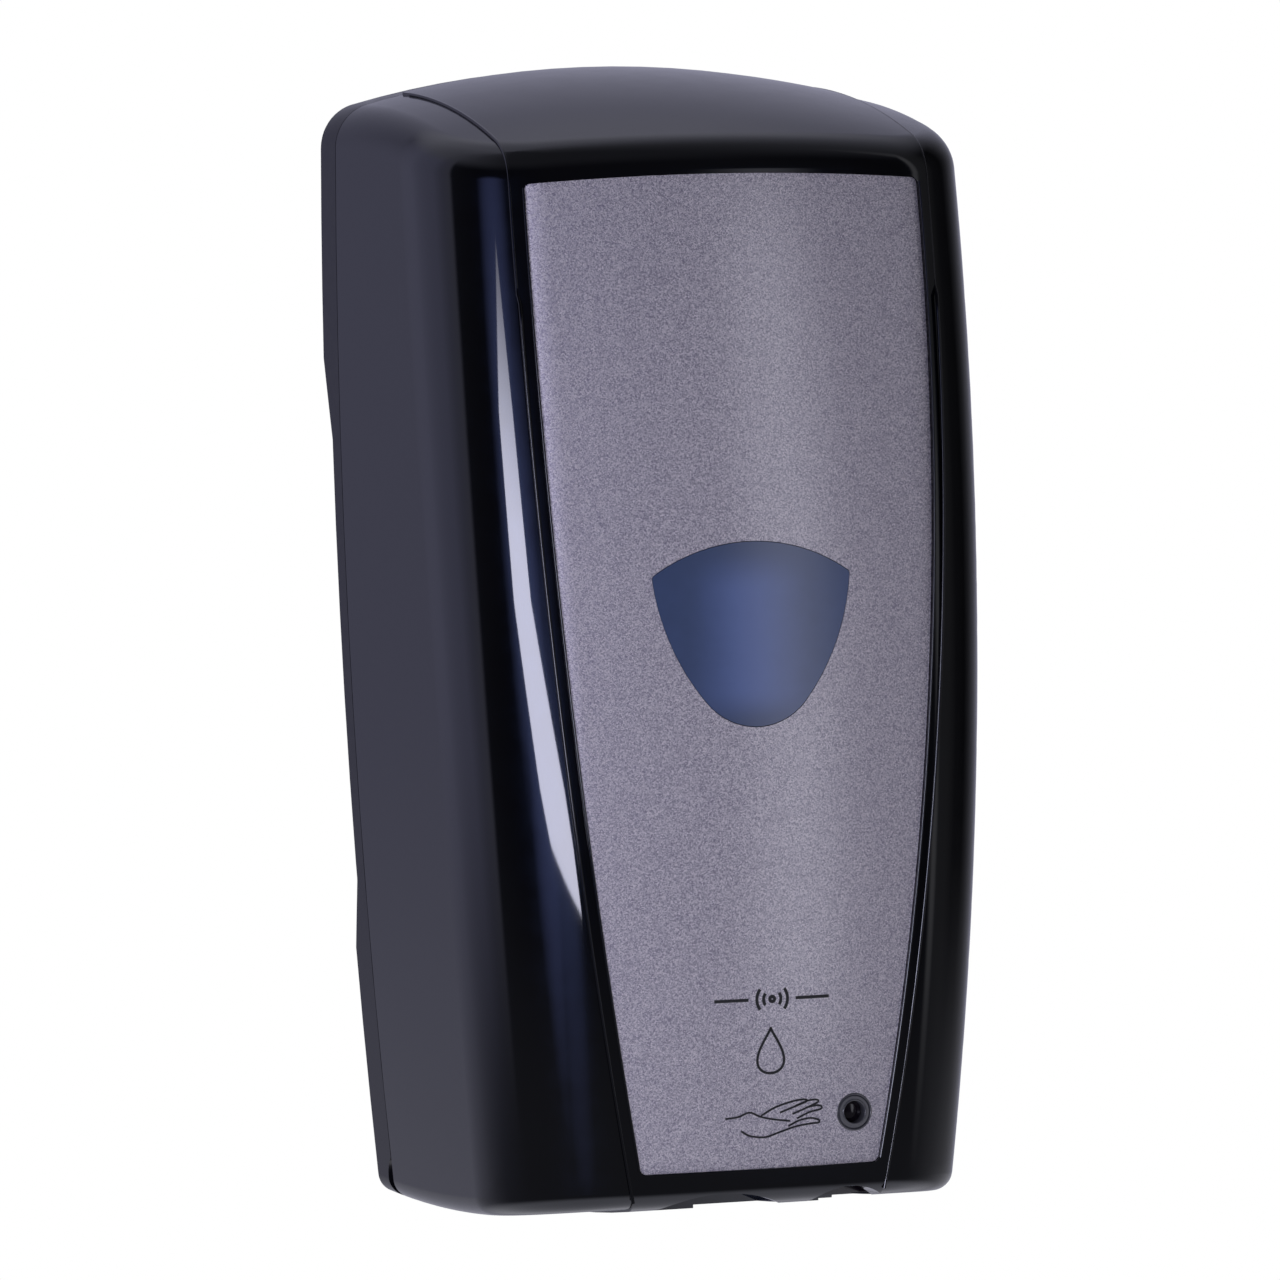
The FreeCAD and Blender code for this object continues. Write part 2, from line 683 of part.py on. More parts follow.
def pan_screw(name, at, towards, shank, length, head=2.6):
    """A pan head screw: the point gives the seat under its head, the direction its shank."""
    return turned(name, [(0.0, -1.8), (head * 0.6, -1.7), (head, -0.9), (head, 0.0), (shank, 0.0),
                         (shank, length), (0.0, length)], at, towards)


def screw_set(name, places, shank, length, head=2.6):
    """Cross recess screws that are driven towards the wall, sharing one node."""
    screws = []
    for number, at in enumerate(places, start=1):
        whole = pan_screw(f"{name}_{number}", at, "+Y", shank, length, head)
        screws.append(cut(f"{name}_driven_{number}", whole, cross_recess(f"{name}_recess_{number}", at)))
    return node(group(name, *screws), name)


def cross_recess(name, at):
    """The cross recess in the head of a screw that is driven towards the wall."""
    x, y, z = [as_size(value) for value in at]
    deep = (y - 2.5, y - 0.9)
    return fuse(name, box(f"{name}_across", (x - 1.3, x + 1.3), deep, (z - 0.3, z + 0.3)),
                box(f"{name}_upright", (x - 0.3, x + 0.3), deep, (z - 1.3, z + 1.3)))


# ---------------------------------------------------------------- reservoir

tank_low, tank_high = given("tank_low"), given("tank_high")
neck_y = given("neck_y")


def tank_block(name, inset):
    """The reservoir's rounded block, drawn inset from its outside."""
    inset = as_size(inset)
    half, back, front = given("tank_half") - inset, given("tank_back") - inset, given("tank_front") + inset
    body = padded(name, "XY_Plane", tank_low + inset,
                  [(-half, front), (half, front), (half, back), (-half, back)],
                  tank_high - tank_low - 2 * inset)
    last = round_edges(body, f"{name}_front", body.Tip, given("tank_corner") - inset,
                       lambda at, span: span.ZLength > 100 and at.y < -50)
    last = round_edges(body, f"{name}_rear", last, 7.0 - inset, lambda at,
                       span: span.ZLength > 100 and at.y > -22)
    round_edges(body, f"{name}_ends", last, 6.0 - inset, lambda at, span: span.ZLength < 1)
    return body


def reservoir():
    neck, spigot = given("neck_radius"), given("spigot_radius")
    wall_inset = given("tank_wall")
    solid = fuse("tank_solid", tank_block("tank_outside", 0.0),
                 rod("tank_neck", neck, 11.5, (0.0, neck_y, tank_high - 1.5)),
                 rod("tank_spigot", spigot, 10.0, (0.0, line_y, tank_low + 1.0), "-Z"))
    groove = cut("seal_groove", rod("groove_outer", 8.0, 2.0, (0.0, line_y, -59.0)),
                 rod("groove_inner", 3.9, 2.0, (0.0, line_y, -59.0)))
    return node(cut("reservoir", solid, tank_block("tank_inside", wall_inset),
                    rod("neck_bore", neck - 2.0, 30.0, (0.0, neck_y, tank_high - 10.0)),
                    rod("spigot_bore", given("spigot_bore"), 30.0, (0.0, line_y, tank_low + 10.0),
                        "-Z"), groove), "reservoir")


def filler_cap():
    """A quarter turn cap with a gripped skirt, and the soft ring that seals it on the neck."""
    inner = given("neck_radius") + 0.4
    outer = inner + 2.6
    body = turned("cap", [(0.0, 13.5), (outer - 1.2, 13.5), (outer, 12.3), (outer, 1.8), (inner, 1.8),
                          (inner, 11.5), (0.0, 11.5)], (0.0, neck_y, tank_high))
    drawing = sketch_on(body, "cap_grip", "XY_Plane", 3.0)
    draw_circle(drawing, 0.8, outer, 0.0)
    notch = add_feature(body, "Pocket", "cap_notch", drawing, Length=7.5)
    notch.Reversed = True
    doc.recompute()
    ring = body.newObject("PartDesign::PolarPattern", "cap_notches")
    ring.Originals = [notch]
    ring.Axis = (drawing, ["N_Axis"])
    ring.Angle = 360
    ring.Occurrences = 30
    body.Tip = ring
    handle = box("cap_handle", (-14.0, 14.0), (neck_y - 1.6, neck_y + 1.6),
                 (tank_high + 13.0, tank_high + 17.0))
    node(fuse("filler_cap", body, handle), "filler_cap")
    node(tube("cap_gasket", given("neck_radius"), given("neck_radius") - 2.0, 1.4,
              (0.0, neck_y, tank_high + 10.05)), "cap_gasket")


# ---------------------------------------------------------------- batteries

box_left, box_right = given("box_left"), given("box_right")
box_front, box_back = given("box_front"), given("box_back")
box_low, box_high = given("box_low"), given("box_high")
box_wall = given("box_wall")
cell_radius = given("cell_radius")
CELL_PITCH = 16.0
CELL_DEPTHS = (-29.0, -43.8)


def battery_pieces():
    middle = (box_left + box_right) / 2
    outer = box("battery_block", (box_left, box_right), (box_front, box_back), (box_low, box_high))
    inner = box("battery_bay", (box_left + box_wall, box_right - box_wall),
                (box_front - 1.0, box_back - box_wall),
                (box_low + box_wall, box_high - box_wall))
    tabs = [box(f"battery_tab_{number}", xs, (box_back - 1.0, given("chassis_back") - plate),
                (-100.0, -90.0))
            for number, xs in enumerate(((-50.0, -44.0), (-24.0, -18.0)), start=1)]
    rails = []
    for number, xs in enumerate(((box_left, box_left + 1.2), (box_right - 1.2, box_right)), start=1):
        rails.append(box(f"door_rail_{number}", xs, (box_front - 3.2, box_front), (box_low, box_high)))
        lip = (xs[0], xs[1] + 1.0) if number == 1 else (xs[0] - 1.0, xs[1])
        rails.append(box(f"door_lip_{number}", lip, (box_front - 3.2, box_front - 2.2),
                         (box_low, box_high)))
    node(cut("battery_box", fuse("battery_solid", outer, *tabs, *rails), inner), "battery_box")

    cells = []
    contacts = []
    places = [(middle + side * CELL_PITCH / 2, depth, up) for side,
              up in ((-1, 1), (1, -1)) for depth in CELL_DEPTHS]
    low, length = -121.9, given("cell_length")
    for number, (x, y, up) in enumerate(places, start=1):
        section = [(0.0, 0.0), (cell_radius - 0.8, 0.0), (cell_radius, 0.8), (cell_radius, length - 0.8),
                   (cell_radius - 0.8, length), (given("nub_radius"), length), (given("nub_radius"),
                                                                                length + 1.5),
                   (0.0, length + 1.5)]
        base = low if up > 0 else as_size(low) + length + 1.5
        cells.append(turned(f"cell_{number}", section, (x, y, base), "+Z" if up > 0 else "-Z"))
        floor, ceiling = box_low + box_wall, box_high - box_wall
        contacts.append(fuse(f"contact_low_{number}",
                             box(f"leaf_low_{number}", (x - 5.5, x + 5.5), (y - 5.5, y + 5.5),
                                 (floor, floor + 0.5)),
                             cone(f"dimple_low_{number}", 3.4, 2.2, 2.0, (x, y, floor + 0.4))))
        contacts.append(fuse(f"contact_high_{number}",
                             box(f"leaf_high_{number}", (x - 5.5, x + 5.5), (y - 5.5, y + 5.5),
                                 (ceiling - 0.5, ceiling)),
                             cone(f"dimple_high_{number}", 3.4, 2.2, 2.9, (x, y, ceiling - 0.4), "-Z")))
    node(group("batteries", *cells), "batteries")
    node(group("battery_contacts", *contacts), "battery_contacts")

    door = box("door_plate", (box_left + 1.4, box_right - 1.4), (box_front - 2.0, box_front - 0.3),
               (box_low + 0.3, box_high - 0.3))
    ribs = [box(f"door_rib_{number}", (middle - 8.0, middle + 8.0), (box_front - 2.9, box_front - 1.9),
                (box_high - 8.0 - 3.0 * number, box_high - 6.8 - 3.0 * number)) for number in range(4)]
    node(fuse("battery_door", door, *ribs), "battery_door")


# ---------------------------------------------------------------- gear train and motor

PRESSURE_ANGLE = math.radians(20.0)
FLANK_STEPS = 4


def involute(base_radius, radius):
    """The polar angle of an involute at a radius."""
    if radius <= base_radius:
        return 0.0
    turn = math.acos(base_radius / radius)
    return math.tan(turn) - turn


def tooth_gap(teeth, module, backlash):
    """Corners of the space between two teeth, centred on +X and open past the tips."""
    pitch = module * teeth / 2
    base = pitch * math.cos(PRESSURE_ANGLE)
    root, tip = pitch - 1.12 * module, pitch + 0.9 * module
    half = math.pi / (2 * teeth) + backlash / (2 * pitch)
    flank = []
    for step in range(FLANK_STEPS + 1):
        radius = root + (tip - root) * step / FLANK_STEPS
        angle = half + involute(base, radius) - involute(base, pitch)
        flank.append((radius * math.cos(angle), radius * math.sin(angle)))
    beyond = tip + module
    reach = math.atan2(flank[-1][1], flank[-1][0]) * 1.1
    flank.append((beyond * math.cos(reach), beyond * math.sin(reach)))
    return [(x, -y) for x, y in flank] + [(x, y) for x, y in reversed(flank)], root, tip


def gear(name, teeth, module, face, at, phase=0.0, backlash=0.14, bore=0.0):
    """A spur gear about a Y axis from `at` forwards; phase is the angle of one tooth from +X towards +Z."""
    gap_corners, root, tip = tooth_gap(teeth, module, backlash)
    body = new_body(name)
    drawing = sketch_on(body, f"{name}_blank_outline", "XZ_Plane")
    draw_circle(drawing, tip)
    if bore:
        draw_circle(drawing, bore)
    add_feature(body, "Pad", f"{name}_blank", drawing, Length=face)
    drawing = sketch_on(body, f"{name}_gap_outline", "XZ_Plane")
    draw_outline(drawing, gap_corners)
    space = add_feature(body, "Pocket", f"{name}_gap", drawing)
    space.Type = "ThroughAll"
    space.Midplane = True
    doc.recompute()
    spaces = body.newObject("PartDesign::PolarPattern", f"{name}_gaps")
    spaces.Originals = [space]
    spaces.Axis = (drawing, ["N_Axis"])
    spaces.Angle = 360
    spaces.Occurrences = teeth
    body.Tip = spaces
    turn = math.degrees(phase) + 180.0 / teeth
    place(body, *at, FreeCAD.Rotation(V(0, 1, 0), -turn))
    return body


def meshed(phase, direction, teeth, driven_teeth):
    """Phase of a gear meshed with another, whose tooth phase is given, along the line between them."""
    return direction + math.pi + math.pi / driven_teeth - (phase - direction) * teeth / driven_teeth


gear_module = given("gear_module")
PINION, WHEEL = int(SIZES["pinion_teeth"]), int(SIZES["wheel_teeth"])
SMALL, FINAL = int(SIZES["small_teeth"]), int(SIZES["final_teeth"])
PUMP_TEETH = int(SIZES["pump_teeth"])
COMPOUND_ANGLE = math.radians(-25.0)
MOTOR_ANGLE = math.radians(20.0)
pump_z = given("pump_z")
pump_pitch = given("pump_module") * PUMP_TEETH / 2
gear_back = given("gear_back")
axle = given("axle")
running = given("running")
final_centre = (pump_pitch, pump_z)
second_distance = gear_module * (SMALL + FINAL) / 2
first_distance = gear_module * (PINION + WHEEL) / 2
compound_centre = (final_centre[0] + second_distance * math.cos(COMPOUND_ANGLE),
                   final_centre[1] + second_distance * math.sin(COMPOUND_ANGLE))
motor_centre = (compound_centre[0] + first_distance * math.cos(MOTOR_ANGLE),
                compound_centre[1] + first_distance * math.sin(MOTOR_ANGLE))
LAYER_ONE, LAYER_TWO = 3.0, 7.4
FACE_ONE, FACE_TWO = 3.2, 4.6
TRAY_DEPTH = 13.0


def gear_train():
    final_phase = 0.0
    small_phase = meshed(final_phase, COMPOUND_ANGLE, FINAL, SMALL)
    wheel_phase = 0.0
    pinion_phase = meshed(wheel_phase, MOTOR_ANGLE, WHEEL, PINION)
    module = SIZES["gear_module"]

    shaft_hole = axle + running
    compound = fuse("compound_solid",
                    gear("compound_wheel", WHEEL, module, FACE_ONE,
                         (compound_centre[0], gear_back - LAYER_ONE, compound_centre[1]), wheel_phase),
                    gear("compound_pinion", SMALL, module, FACE_TWO + 1.2,
                         (compound_centre[0], gear_back - LAYER_TWO + 1.2,
                          compound_centre[1]), small_phase))
    bore = rod("compound_bore", shaft_hole, 20.0, (compound_centre[0], gear_back, compound_centre[1]), "-Y")
    node(cut("compound_gear", compound, bore), "compound_gear")
    node(rod("compound_axle", axle, TRAY_DEPTH + 2.0,
             (compound_centre[0], gear_back - 0.4, compound_centre[1]),
             "-Y"), "compound_axle")

    node(gear("motor_pinion", PINION, module, FACE_ONE + 0.8,
              (motor_centre[0], gear_back - LAYER_ONE + 0.4, motor_centre[1]), pinion_phase, bore=1.0),
         "motor_pinion")
    node(rod("motor_shaft", 1.0, 34.0, (motor_centre[0], gear_back + 25.0, motor_centre[1]), "-Y"),
         "motor_shaft")

    node(gear("drive_gear", FINAL, module, FACE_TWO,
              (final_centre[0], gear_back - LAYER_TWO,
               final_centre[1]), final_phase, bore=axle), "drive_gear")
    node(rod("drive_shaft", axle, 26.2, (final_centre[0], gear_back - 0.6, final_centre[1]), "-Y"),
         "drive_shaft")

    pump_back = gear_back - TRAY_DEPTH - 2.3
    pump_module = SIZES["pump_module"]
    idler_phase = meshed(0.0, math.pi, PUMP_TEETH, PUMP_TEETH)
    node(gear("pump_gear", PUMP_TEETH, pump_module, 9.4, (final_centre[0], pump_back, pump_z), 0.0, 0.16,
              axle),
         "pump_gear")
    node(gear("pump_idler", PUMP_TEETH, pump_module, 9.4, (-pump_pitch, pump_back, pump_z), idler_phase,
              0.16, axle),
         "pump_idler")
    node(rod("idler_shaft", axle, 12.6, (-pump_pitch, pump_back + 1.6, pump_z), "-Y"), "idler_shaft")


def motor():
    """A can motor with a hollow for its armature shaft, and its two terminals."""
    radius = given("motor_radius")
    x, z = motor_centre
    body = turned("motor_can", [(1.4, 0.0), (3.0, 0.0), (3.0, 1.6), (radius - 1.0, 1.6), (radius, 2.6),
                                (radius, 24.5), (3.4, 24.5), (3.4, 26.5), (1.4, 26.5)],
                  (x, gear_back + 26.5, z), "-Y")
    terminals = [box(f"terminal_{number}", (x + across - 1.0, x + across + 1.0),
                     (gear_back + 24.4, gear_back + 28.4), (z - 0.3, z + 0.3))
                 for number, across in enumerate((-7.0, 7.0), start=1)]
    return node(fuse("motor", body, *terminals), "motor")


TRAY_LEFT, TRAY_RIGHT, TRAY_LOW, TRAY_HIGH = -10.0, 51.0, -115.5, -74.5
TRAY_WALL = 1.8
TRAY_SCREWS = ((-6.5, -111.5), (47.5, -111.5), (-6.5, -77.7), (47.5, -77.7))
BOARD_SPOTS = ((26.5, -106.0), (48.0, -100.0), (26.5, -80.5), (48.0, -87.0))


def gearbox():
    front = gear_back - TRAY_DEPTH
    base = gear_back - 2.0
    outer = box("tray_block", (TRAY_LEFT, TRAY_RIGHT), (front, gear_back), (TRAY_LOW, TRAY_HIGH))
    inner = box("tray_bay", (TRAY_LEFT + TRAY_WALL, TRAY_RIGHT - TRAY_WALL), (front - 1.0, base),
                (TRAY_LOW + TRAY_WALL, TRAY_HIGH - TRAY_WALL))
    arms = [box(f"tray_arm_{number}", xs, (gear_back - 1.0, given("chassis_back") - plate),
                (TRAY_LOW, TRAY_LOW + 6.0))
            for number, xs in enumerate(((-8.0, -3.0), (21.0, 26.0)), start=1)]
    posts = [rod(f"tray_post_{number}", 3.2, TRAY_DEPTH, (x, gear_back, z), "-Y")
             for number, (x, z) in enumerate(TRAY_SCREWS, start=1)]
    hub = rod("compound_seat", 3.0, 2.7, (compound_centre[0], gear_back, compound_centre[1]), "-Y")
    holes = [rod(f"tray_pilot_{number}", 1.2, 9.0, (x, front + 8.0, z), "-Y")
             for number, (x, z) in enumerate(TRAY_SCREWS, start=1)]
    holes.append(rod("motor_nose_hole", 3.5, 8.0, (motor_centre[0], gear_back + 2.0, motor_centre[1]),
                     "-Y"))
    for number, (x, z) in enumerate((compound_centre, final_centre), start=1):
        holes.append(rod(f"tray_bearing_{number}", axle + running, 2.5, (x, gear_back - 0.3, z), "-Y"))
    node(cut("gearbox_housing", fuse("tray_solid", cut("tray_hollow", outer, inner), *arms, *posts, hub),
             *holes),
         "gearbox_housing")

    lid = box("lid_block", (TRAY_LEFT, TRAY_RIGHT), (front - 2.0, front), (TRAY_LOW, TRAY_HIGH))
    openings = [rod(f"lid_hole_{number}", 1.5, 6.0, (x, front + 1.0, z), "-Y")
                for number, (x, z) in enumerate(TRAY_SCREWS, start=1)]
    for number, (x, z) in enumerate((compound_centre, final_centre, (-pump_pitch, pump_z)), start=1):
        openings.append(rod(f"lid_bearing_{number}", axle + running, 6.0, (x, front + 1.0, z), "-Y"))
    openings += [rod(f"lid_board_pilot_{number}", 1.15, 6.0, (x, front + 1.0, z), "-Y")
                 for number, (x, z) in enumerate(BOARD_SPOTS, start=1)]
    node(cut("gearbox_cover", lid, *openings), "gearbox_cover")
    screw_set("gearbox_screws", [(x, front - 2.0, z) for x, z in TRAY_SCREWS], 1.2, 8.0, 2.3)


# ---------------------------------------------------------------- pump, tubes and nozzle

PUMP_DEPTH = 10.0
PUMP_HALF = 15.0
PUMP_RISE = 11.0
PUMP_SCREWS = ((-12.0, -8.5), (12.0, -8.5), (-12.0, 8.5), (12.0, 8.5))


def pump():
    back = gear_back - TRAY_DEPTH - 2.0
    front = back - PUMP_DEPTH
    cavity = pump_pitch + 0.9 * SIZES["pump_module"] + 0.12
    block = box("pump_block", (-PUMP_HALF, PUMP_HALF), (front, back),
                (pump_z - PUMP_RISE, pump_z + PUMP_RISE))
    ports = [rod("pump_inlet", 3.0, 8.5, (0.0, line_y, pump_z + PUMP_RISE - 0.5)),
             rod("pump_outlet", 3.0, 8.0, (0.0, line_y, pump_z - PUMP_RISE + 0.5), "-Z")]
    holes = [rod("pump_bore_right", cavity, 14.0, (pump_pitch, back + 1.0, pump_z), "-Y"),
             rod("pump_bore_left", cavity, 14.0, (-pump_pitch, back + 1.0, pump_z), "-Y"),
             rod("pump_way", 1.8, 50.0, (0.0, line_y, pump_z - 25.0))]
    for number, (x, z) in enumerate(PUMP_SCREWS, start=1):
        holes.append(rod(f"pump_pilot_{number}", 1.0, 14.0, (x, back + 1.0, pump_z + z), "-Y"))
    node(cut("pump_body", fuse("pump_solid", block, *ports), *holes), "pump_body")

    lid = box("pump_lid", (-PUMP_HALF, PUMP_HALF), (front - 3.0, front),
              (pump_z - PUMP_RISE, pump_z + PUMP_RISE))
    seats = [rod(f"pump_seat_{number}", axle + running, 2.2, (x, front + 0.1, pump_z), "-Y")
             for number, x in enumerate((pump_pitch, -pump_pitch), start=1)]
    seats += [rod(f"pump_hole_{number}", 1.3, 6.0, (x, front + 1.0, pump_z + z), "-Y")
              for number, (x, z) in enumerate(PUMP_SCREWS, start=1)]
    node(cut("pump_cover", lid, *seats), "pump_cover")
    screw_set("pump_screws", [(x, front - 3.0, pump_z + z) for x, z in PUMP_SCREWS], 1.0, 9.0, 2.2)


def soap_way():
    """The two soft tubes, the nozzle and the slit valve in its tip."""
    node(tube("inlet_tube", 4.8, 3.1, 9.0, (0.0, line_y, -76.5)), "inlet_tube")
    node(tube("outlet_tube", 4.8, 3.1, 13.0, (0.0, line_y, -119.0)), "outlet_tube")
    tip = -131.5
    node(turned("nozzle",
                [(1.8, 0.0), (4.2, 0.0), (4.6, 0.8), (6.4, 9.0), (6.4, 10.5), (3.0, 11.0), (3.0, 20.5),
                 (1.8, 20.5), (1.8, 6.0), (2.9, 5.6), (2.9, 1.6), (1.8, 1.6)],
                (0.0, line_y, tip)), "nozzle")
    valve = turned("valve_cup",
                   [(0.0, 0.4), (1.0, 0.4), (2.8, 3.6), (2.8, 5.3), (2.2, 5.3), (2.2, 3.8), (0.5, 1.0),
                    (0.0, 1.0)],
                   (0.0, line_y, as_size(tip) + 0.2))
    slit = box("valve_slit", (-0.8, 0.8), (line_y - 0.05, line_y + 0.05), (-131.0, -128.0))
    node(cut("outlet_valve", valve, slit), "outlet_valve")
    node(torus("spigot_seal", 4.55, 0.6, (0.0, line_y, -58.0)), "spigot_seal")


# ---------------------------------------------------------------- electronics

def electronics():
    left, right = given("board_left"), given("board_right")
    low, high = given("board_low"), given("board_high")
    back = given("board_back")
    front = back - given("board_thickness")
    board = box("board_plate", (left, right), (front, back), (low, high))
    holes = [rod(f"board_hole_{number}", 1.3, 4.0, (x, back + 1.0, z), "-Y")
             for number, (x, z) in enumerate(BOARD_SPOTS, start=1)]
    node(cut("circuit_board", board, *holes), "circuit_board")
    lid_front = gear_back - TRAY_DEPTH - 2.0
    spacers = [tube(f"spacer_{number}", 2.4, 1.25, lid_front - back, (x, lid_front, z), "-Y")
               for number, (x, z) in enumerate(BOARD_SPOTS, start=1)]
    node(group("board_spacers", *spacers), "board_spacers")
    screw_set("board_screws", [(x, front, z) for x, z in BOARD_SPOTS], 1.1, 4.6, 2.0)
    chip = box("controller_chip", (left + 6.0, left + 14.0), (front - 1.6, front), (-92.0, -84.0))
    coil = box("regulator_coil", (left + 19.0, left + 25.0), (front - 3.0, front), (-90.0, -84.0))
    can = rod("capacitor", 3.1, 8.0, (left + 22.0, front, -98.0), "-Y")
    plug = box("lead_header", (left + 6.0, left + 16.0), (front - 5.0, front), (-76.0, -71.0))
    node(group("board_parts", chip, coil, can, plug), "board_parts")
    led = turned("led_body", [(0.0, 0.0), (2.9, 0.0), (2.9, 1.0), (2.5, 1.0), (2.5, 6.1), (0.0, 8.6)],
                 (indicator[0], front, indicator[1]), "-Y", {4: (2.5, -1)})
    node(led, "indicator_led")

    switch_x, switch_z = right - 7.0, -109.5
    body = box("switch_case", (switch_x - 5.0, switch_x + 5.0), (front - 4.0, front),
               (switch_z - 3.0, switch_z + 3.0))
    slot = box("switch_slot", (switch_x - 3.6, switch_x - 0.4 + given("switch_travel")),
               (front - 5.0, front - 2.2),
               (switch_z - 1.2, switch_z + 1.2))
    node(cut("power_switch", body, slot), "power_switch")
    knob = box("switch_lever", (switch_x - 3.4, switch_x - 0.6), (front - 7.0, front - 2.4),
               (switch_z - 1.0, switch_z + 1.0))
    node(knob, "switch_knob")

    x, y = given("sensor_x"), given("sensor_y")
    holder = box("sensor_block", (x - 7.2, x + 7.2), (y - 6.0, lid_front), (-130.6, -118.5))
    arm = box("sensor_arm", (x - 7.2, x + 7.2), (lid_front - 1.8, lid_front), (-120.0, -116.8))
    eyes = (x - 3.6, x + 3.6)
    wells = [rod(f"sensor_well_{number}", 2.62, 20.0, (eye, y, -133.0)) for number,
             eye in enumerate(eyes, start=1)]
    node(cut("sensor_housing", fuse("sensor_solid", holder, arm), *wells), "sensor_housing")
    lamps = [turned(f"sensor_lamp_{number}", [(0.0, 0.0), (2.5, 0.0), (2.5, 5.4), (0.0, 7.9)],
                    (eye, y, -121.0), "-Z",
                    {2: (2.5, -1)}) for number, eye in enumerate(eyes, start=1)]
    node(group("sensor_pair", *lamps), "sensor_pair")
    window = box("sensor_pane", (x - 7.2, x + 7.2), (y - 6.0, y + 6.0), (-132.2, -130.7))
    node(window, "sensor_window")


# ---------------------------------------------------------------- leads

RUN_SHARE = 0.45


def lead(name, points, radius):
    """A wire held between two housings: straight runs joined by arcs as large as the runs allow."""
    points = [V(*point) for point in points]
    edges = []
    start = points[0]
    for before, corner, after in zip(points, points[1:], points[2:]):
        inwards = (corner - before).normalize()
        outwards = (after - corner).normalize()
        turn = inwards.getAngle(outwards)
        reach = RUN_SHARE * min((corner - before).Length, (after - corner).Length)
        bend = reach / math.tan(turn / 2)
        print(f"{name}: bend radius {bend:.1f} mm")
        arc_start, arc_end = corner - inwards * reach, corner + outwards * reach
        centre_way = (outwards - inwards).normalize()
        middle = corner + centre_way * (bend / math.cos(turn / 2) - bend)
        edges.append(Part.LineSegment(start, arc_start).toShape())
        edges.append(Part.Arc(arc_start, middle, arc_end).toShape())
        start = arc_end
    edges.append(Part.LineSegment(start, points[-1]).toShape())
    path = Part.Wire(edges)
    ring = Part.Wire([Part.makeCircle(radius, points[0], points[1] - points[0])])
    swept = path.makePipeShell([ring], True, False)
    wire = doc.addObject("Part::Feature", name)
    wire.Shape = swept
    ratio = swept.Volume / (math.pi * radius * radius * path.Length)
    print(f"{name}: length {path.Length:.1f} mm, volume {ratio:.4f} of section times length")
    return wire


def leads():
    """Two leads from the battery box and two from the motor, which meet at the circuit board's header."""
    radius = 0.8
    terminal_x, terminal_z = motor_centre[0].value, motor_centre[1].value
    battery = [lead(f"battery_lead_{number}",
                    [(-15.9, -36.0 - shift, -71.5), (-4.0, -37.0 - shift, -70.0),
                     (10.0, -44.0 - shift, -67.5),
                     (19.0, -55.0 - shift, -65.0), (27.2 + shift, -67.2, -62.5), (27.2 + shift, -67.2,
                                                                                  -70.9)], radius)
               for number, shift in enumerate((0.0, 2.2), start=1)]
    motor_pair = [lead(f"motor_lead_{number}",
                       [(terminal_x + across, -19.6, terminal_z + 0.35),
                        (terminal_x + across, -20.5, -79.0),
                        (terminal_x + inwards, -32.0, -67.5), (36.0 + shift, -50.0, -64.0),
                        (31.8 + shift, -67.2, -62.5), (31.8 + shift, -67.2, -70.9)], radius)
                  for number, (across, inwards, shift) in enumerate(((-7.0, -5.5, 0.0), (7.0, 4.0, 2.2)),
                                                                    start=1)]
    node(group("battery_leads", *battery), "battery_leads")
    node(group("motor_leads", *motor_pair), "motor_leads")


# ---------------------------------------------------------------- build, check and write

def faults():
    """Names of the objects that failed to recompute and of the pieces whose shape isn't sound."""
    failed = [thing.Name for thing in doc.Objects if {"Invalid", "Error"} & set(thing.State)]
    unsound = [piece.Label for piece in NODES if piece.Shape.isNull() or not piece.Shape.isValid()]
    return failed + unsound


SECTIONS = (rear_housing, hinge_pins, cover_shell, centre_band, face_panel, sight_window, indicator_pieces,
            lock, chassis, reservoir, filler_cap, battery_pieces, gear_train, motor, gearbox, pump, soap_way,
            electronics, leads)

for section in SECTIONS:
    section()
screw_set("chassis_screws", [(x, given("chassis_back") - plate, z) for x, z in CHASSIS_SCREWS], 1.35, 10.0)
doc.recompute()
broken = faults()
if broken:
    raise SystemExit(f"not written, because these failed: {', '.join(broken)}")
os.makedirs("parts", exist_ok=True)
for piece in NODES:
    piece.Shape.exportStep(f"parts/{piece.Label}.step")
print(f"{len(NODES)} pieces written")
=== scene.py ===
"""Wall mounted touch-free soap dispenser: finishes, printed marks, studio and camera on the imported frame.

Frame: X to the right seen from the front, Y into the wall, Z up, in metres. Surface formulas are
written in millimetres, and MM turns them into metres.
"""

import json
import math

import bpy
import numpy as np
from mathutils import Matrix, Vector

